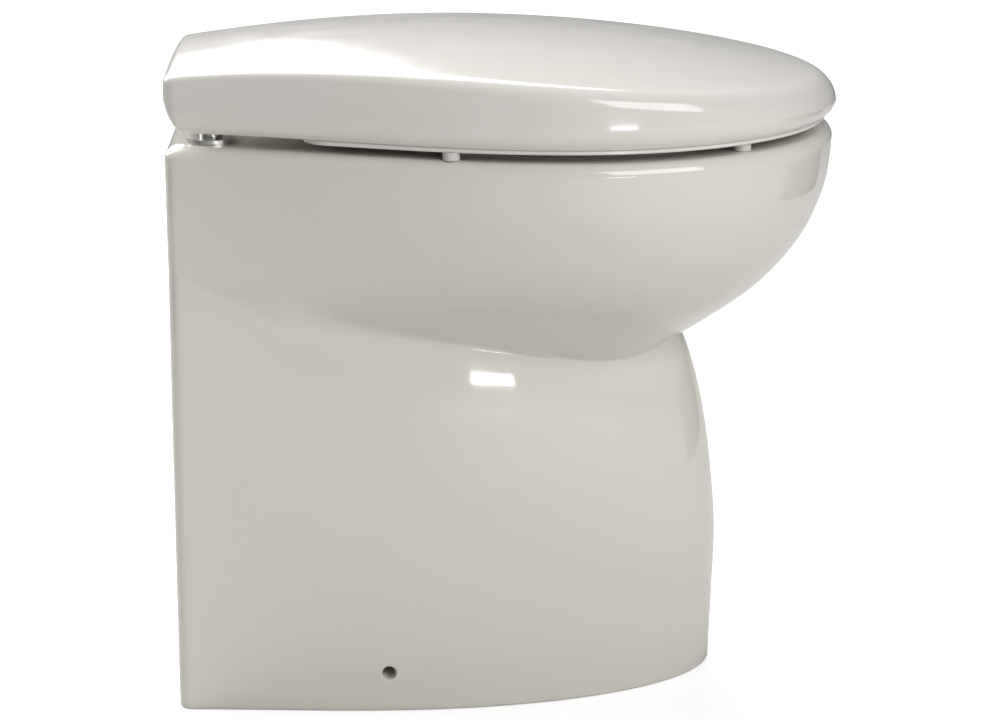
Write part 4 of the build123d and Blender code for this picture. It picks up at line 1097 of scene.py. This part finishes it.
def make_seat():
    """The seat: a ring with a thin lower flange, soft upper edges and two arms to the hinge."""
    body = seat_loop(seat_body_inset)
    flange = seat_loop(seat_edge_inset)
    flange_in = seat_loop(seat_edge_inset + flange_edge)
    flange_top = seat_underside + seat_flange
    rows = [level(flange_in, seat_underside), level(flange, seat_underside + flange_edge)]
    rows += [level(flange, flange_top - flange_edge), level(flange_in, flange_top)]
    rows += [level(body, flange_top), level(body, flange_top + seat_step)]
    side_top = seat_top_height - seat_round
    rows.append(level(body, side_top))
    for turn in quarter_turns(9):
        inset = seat_round * (1 - math.cos(turn))
        rows.append(level(seat_loop(seat_body_inset + inset), side_top + seat_round * math.sin(turn)))
    top_loop = rows[-1][:, :2]
    hole_top = hole_loop(top_loop, seat_round)
    for share in np.linspace(0, 1, 9)[1:]:
        rows.append(level(top_loop * (1 - share) + hole_top * share, seat_top_height))
    for turn in quarter_turns(9):
        grow = seat_round * (1 - math.sin(turn))
        z = seat_top_height - seat_round * (1 - math.cos(turn))
        rows.append(level(hole_loop(top_loop, grow), z))
    rows.append(level(hole_loop(top_loop, 0.0), seat_underside + hole_edge))
    rows.append(level(hole_loop(top_loop, 0.6), seat_underside + 0.4))
    hole_foot = hole_loop(top_loop, hole_edge)
    for share in np.linspace(0, 1, 5)[:-1]:
        rows.append(level(hole_foot * (1 - share) + flange_in * share, seat_underside))
    seat = skinned("seat_ring_dressed", rows, seat_lacquer, ring=True)
    axis = (axis_y, axis_height)
    root = (seat_back - arm_root_radius * 2, seat_underside + arm_root_radius)
    lean = math.degrees(math.atan2(axis[1] - root[1], axis[0] - root[0]))
    span = math.hypot(axis[1] - root[1], axis[0] - root[0])
    taper = math.degrees(math.asin((arm_root_radius - knuckle_radius) / span))
    outline = arc_points(root, arm_root_radius, lean + 90 - taper, lean + 270 + taper)
    outline += arc_points(axis, knuckle_radius, lean - 90 + taper, lean + 90 - taper)
    for side in (-1, 1):
        ends = sorted((side * (arm_outer - arm_width), side * arm_outer))
        arm = side_plate("arm", turned(outline), ends[0], ends[1], arm_edge, seat_lacquer)
        combine(seat, arm, "UNION")
    bore = round_bar("pin_bore", pin_bore_radius, -overall_width / 2, overall_width / 2, axis, "X")
    paint_faces(bore, seat_lacquer, clay, False)
    combine(seat, bore, "DIFFERENCE")
    return finish_edges(seat)


seat = make_seat()
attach(seat, "seat")
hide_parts("seat_ring")

# Floor and surroundings: white where the camera looks past the object, lengths in metres
floor_glow = 0.5
glow_grows_from = 0.7
glow_is_full_at = 2.2


def plain_material(name, colour, rough):
    """A plain surface for the floor and the cards around the object."""
    material, tree, shader = new_material(name)
    put(shader, "Roughness", rough)
    tone = ramp(tree, noise(tree, 3.0, 3.0), [(0.3, colour), (0.7, tuple(c * 0.985 for c in colour))])
    feed(shader, "Base Color", tone)
    return material


def sheet(name, centre, size, turn, material):
    """A flat rectangle for the floor and the cards."""
    mesh = bpy.data.meshes.new(name)
    w, h = size[0] / 2, size[1] / 2
    mesh.from_pydata([(-w, -h, 0), (w, -h, 0), (w, h, 0), (-w, h, 0)], [], [(0, 1, 2, 3)])
    mesh.materials.append(material)
    card = bpy.data.objects.new(name, mesh)
    card.location = centre
    card.rotation_euler = turn
    scene.collection.objects.link(card)
    return card


def white_floor(name):
    """Pale floor that the camera sees as white, but for the shadow at the object's foot."""
    material = plain_material(name, (0.8, 0.8, 0.8), 0.9)
    tree = material.node_tree
    shader = tree.nodes["Principled BSDF"]
    glow = tree.nodes.new("ShaderNodeEmission")
    away = tree.nodes.new("ShaderNodeVectorMath")
    away.operation = "LENGTH"
    feed(away, 0, place_vector(tree))
    spread = tree.nodes.new("ShaderNodeMapRange")
    put(spread, "From Min", glow_grows_from)
    put(spread, "From Max", glow_is_full_at)
    put(spread, "To Min", floor_glow)
    put(spread, "To Max", 1.0)
    feed(spread, "Value", away.outputs["Value"])
    feed(glow, "Strength", spread.outputs["Result"])
    total = tree.nodes.new("ShaderNodeAddShader")
    feed(total, 0, shader.outputs["BSDF"])
    feed(total, 1, glow.outputs["Emission"])
    dim = tree.nodes.new("ShaderNodeBsdfDiffuse")
    put(dim, "Color", (0.55, 0.545, 0.53, 1.0))
    seen = tree.nodes.new("ShaderNodeLightPath")
    chosen = tree.nodes.new("ShaderNodeMixShader")
    feed(chosen, "Fac", seen.outputs["Is Camera Ray"])
    feed(chosen, 1, dim.outputs["BSDF"])
    feed(chosen, 2, total.outputs["Shader"])
    feed(tree.nodes["Material Output"], "Surface", chosen.outputs["Shader"])
    return material


sheet("floor", (0, 0, 0), (12, 12), (0, 0, 0), white_floor("floor_paint"))
world = bpy.data.worlds.new("studio")
scene.world = world
world.use_nodes = True
world_tree = world.node_tree
room = world_tree.nodes["Background"]
put(room, "Color", (0.97, 0.98, 1.0, 1.0))
put(room, "Strength", 0.22)
paper = world_tree.nodes.new("ShaderNodeBackground")
put(paper, "Strength", 1.0)
put(paper, "Color", (1.0, 1.0, 1.0, 1.0))
seen = world_tree.nodes.new("ShaderNodeLightPath")
chosen = world_tree.nodes.new("ShaderNodeMixShader")
feed(chosen, "Fac", seen.outputs["Is Camera Ray"])
feed(chosen, 1, room.outputs["Background"])
feed(chosen, 2, paper.outputs["Background"])
feed(world_tree.nodes["World Output"], "Surface", chosen.outputs["Shader"])


def lamp(name, place, target, size, watts):
    """A rectangular lamp that faces a target."""
    data = bpy.data.lights.new(name, "AREA")
    data.shape = "RECTANGLE"
    data.size, data.size_y = size
    data.energy = watts
    light = bpy.data.objects.new(name, data)
    light.location = place
    toward = Vector(target) - Vector(place)
    light.rotation_euler = toward.to_track_quat("-Z", "Y").to_euler()
    scene.collection.objects.link(light)


lamp("top_softbox", (1.1, 0.95, 1.8), (0.05, 0.2, 0.45), (2.8, 2.4), 100.0)
lamp("side_softbox", (-2.0, -1.35, 1.55), (0, 0, 0.25), (1.8, 1.6), 43.0)
lamp("low_window", (-1.98, -0.66, 0.16), (-0.1, 0.0, 0.25), (0.36, 0.075), 2.2)

# Dark cards beside the camera's view, for the darker reflections at the object's right edge
card_black = plain_material("card_black", (0.03, 0.03, 0.03), 0.8)
upright = (math.radians(90), 0, 0)
front_card = sheet("front_card", (0.45, -1.0, 0.1), (0.75, 0.2), upright, card_black)
back_card = sheet("back_card", (-0.75, 1.5, 0.5), (1.3, 1.0), upright, card_black)
for card in (front_card, back_card):
    card.visible_camera = False
    card.visible_shadow = False

# Camera: the photograph's place beside the object, a little above it
camera_distance = 2.0
camera_turn = math.radians(-2.69)
camera_height = 0.7705
camera_pitch = math.radians(13.34)
photo_width = 1000.0
focal_pixels = 2764.0
sensor_width = 36.0
camera_data = bpy.data.cameras.new("camera")
camera_data.sensor_width = sensor_width
camera_data.lens = focal_pixels / photo_width * sensor_width
camera_data.shift_x = -0.0053
camera_data.shift_y = -0.08
camera = bpy.data.objects.new("camera", camera_data)
camera.location = (
    -camera_distance * math.cos(camera_turn),
    -camera_distance * math.sin(camera_turn),
    camera_height,
)
forward = Vector(
    (
        math.cos(camera_turn) * math.cos(camera_pitch),
        math.sin(camera_turn) * math.cos(camera_pitch),
        -math.sin(camera_pitch),
    )
)
camera.rotation_euler = forward.to_track_quat("-Z", "Y").to_euler()
scene.collection.objects.link(camera)
scene.camera = camera

scene.view_settings.view_transform = "Standard"
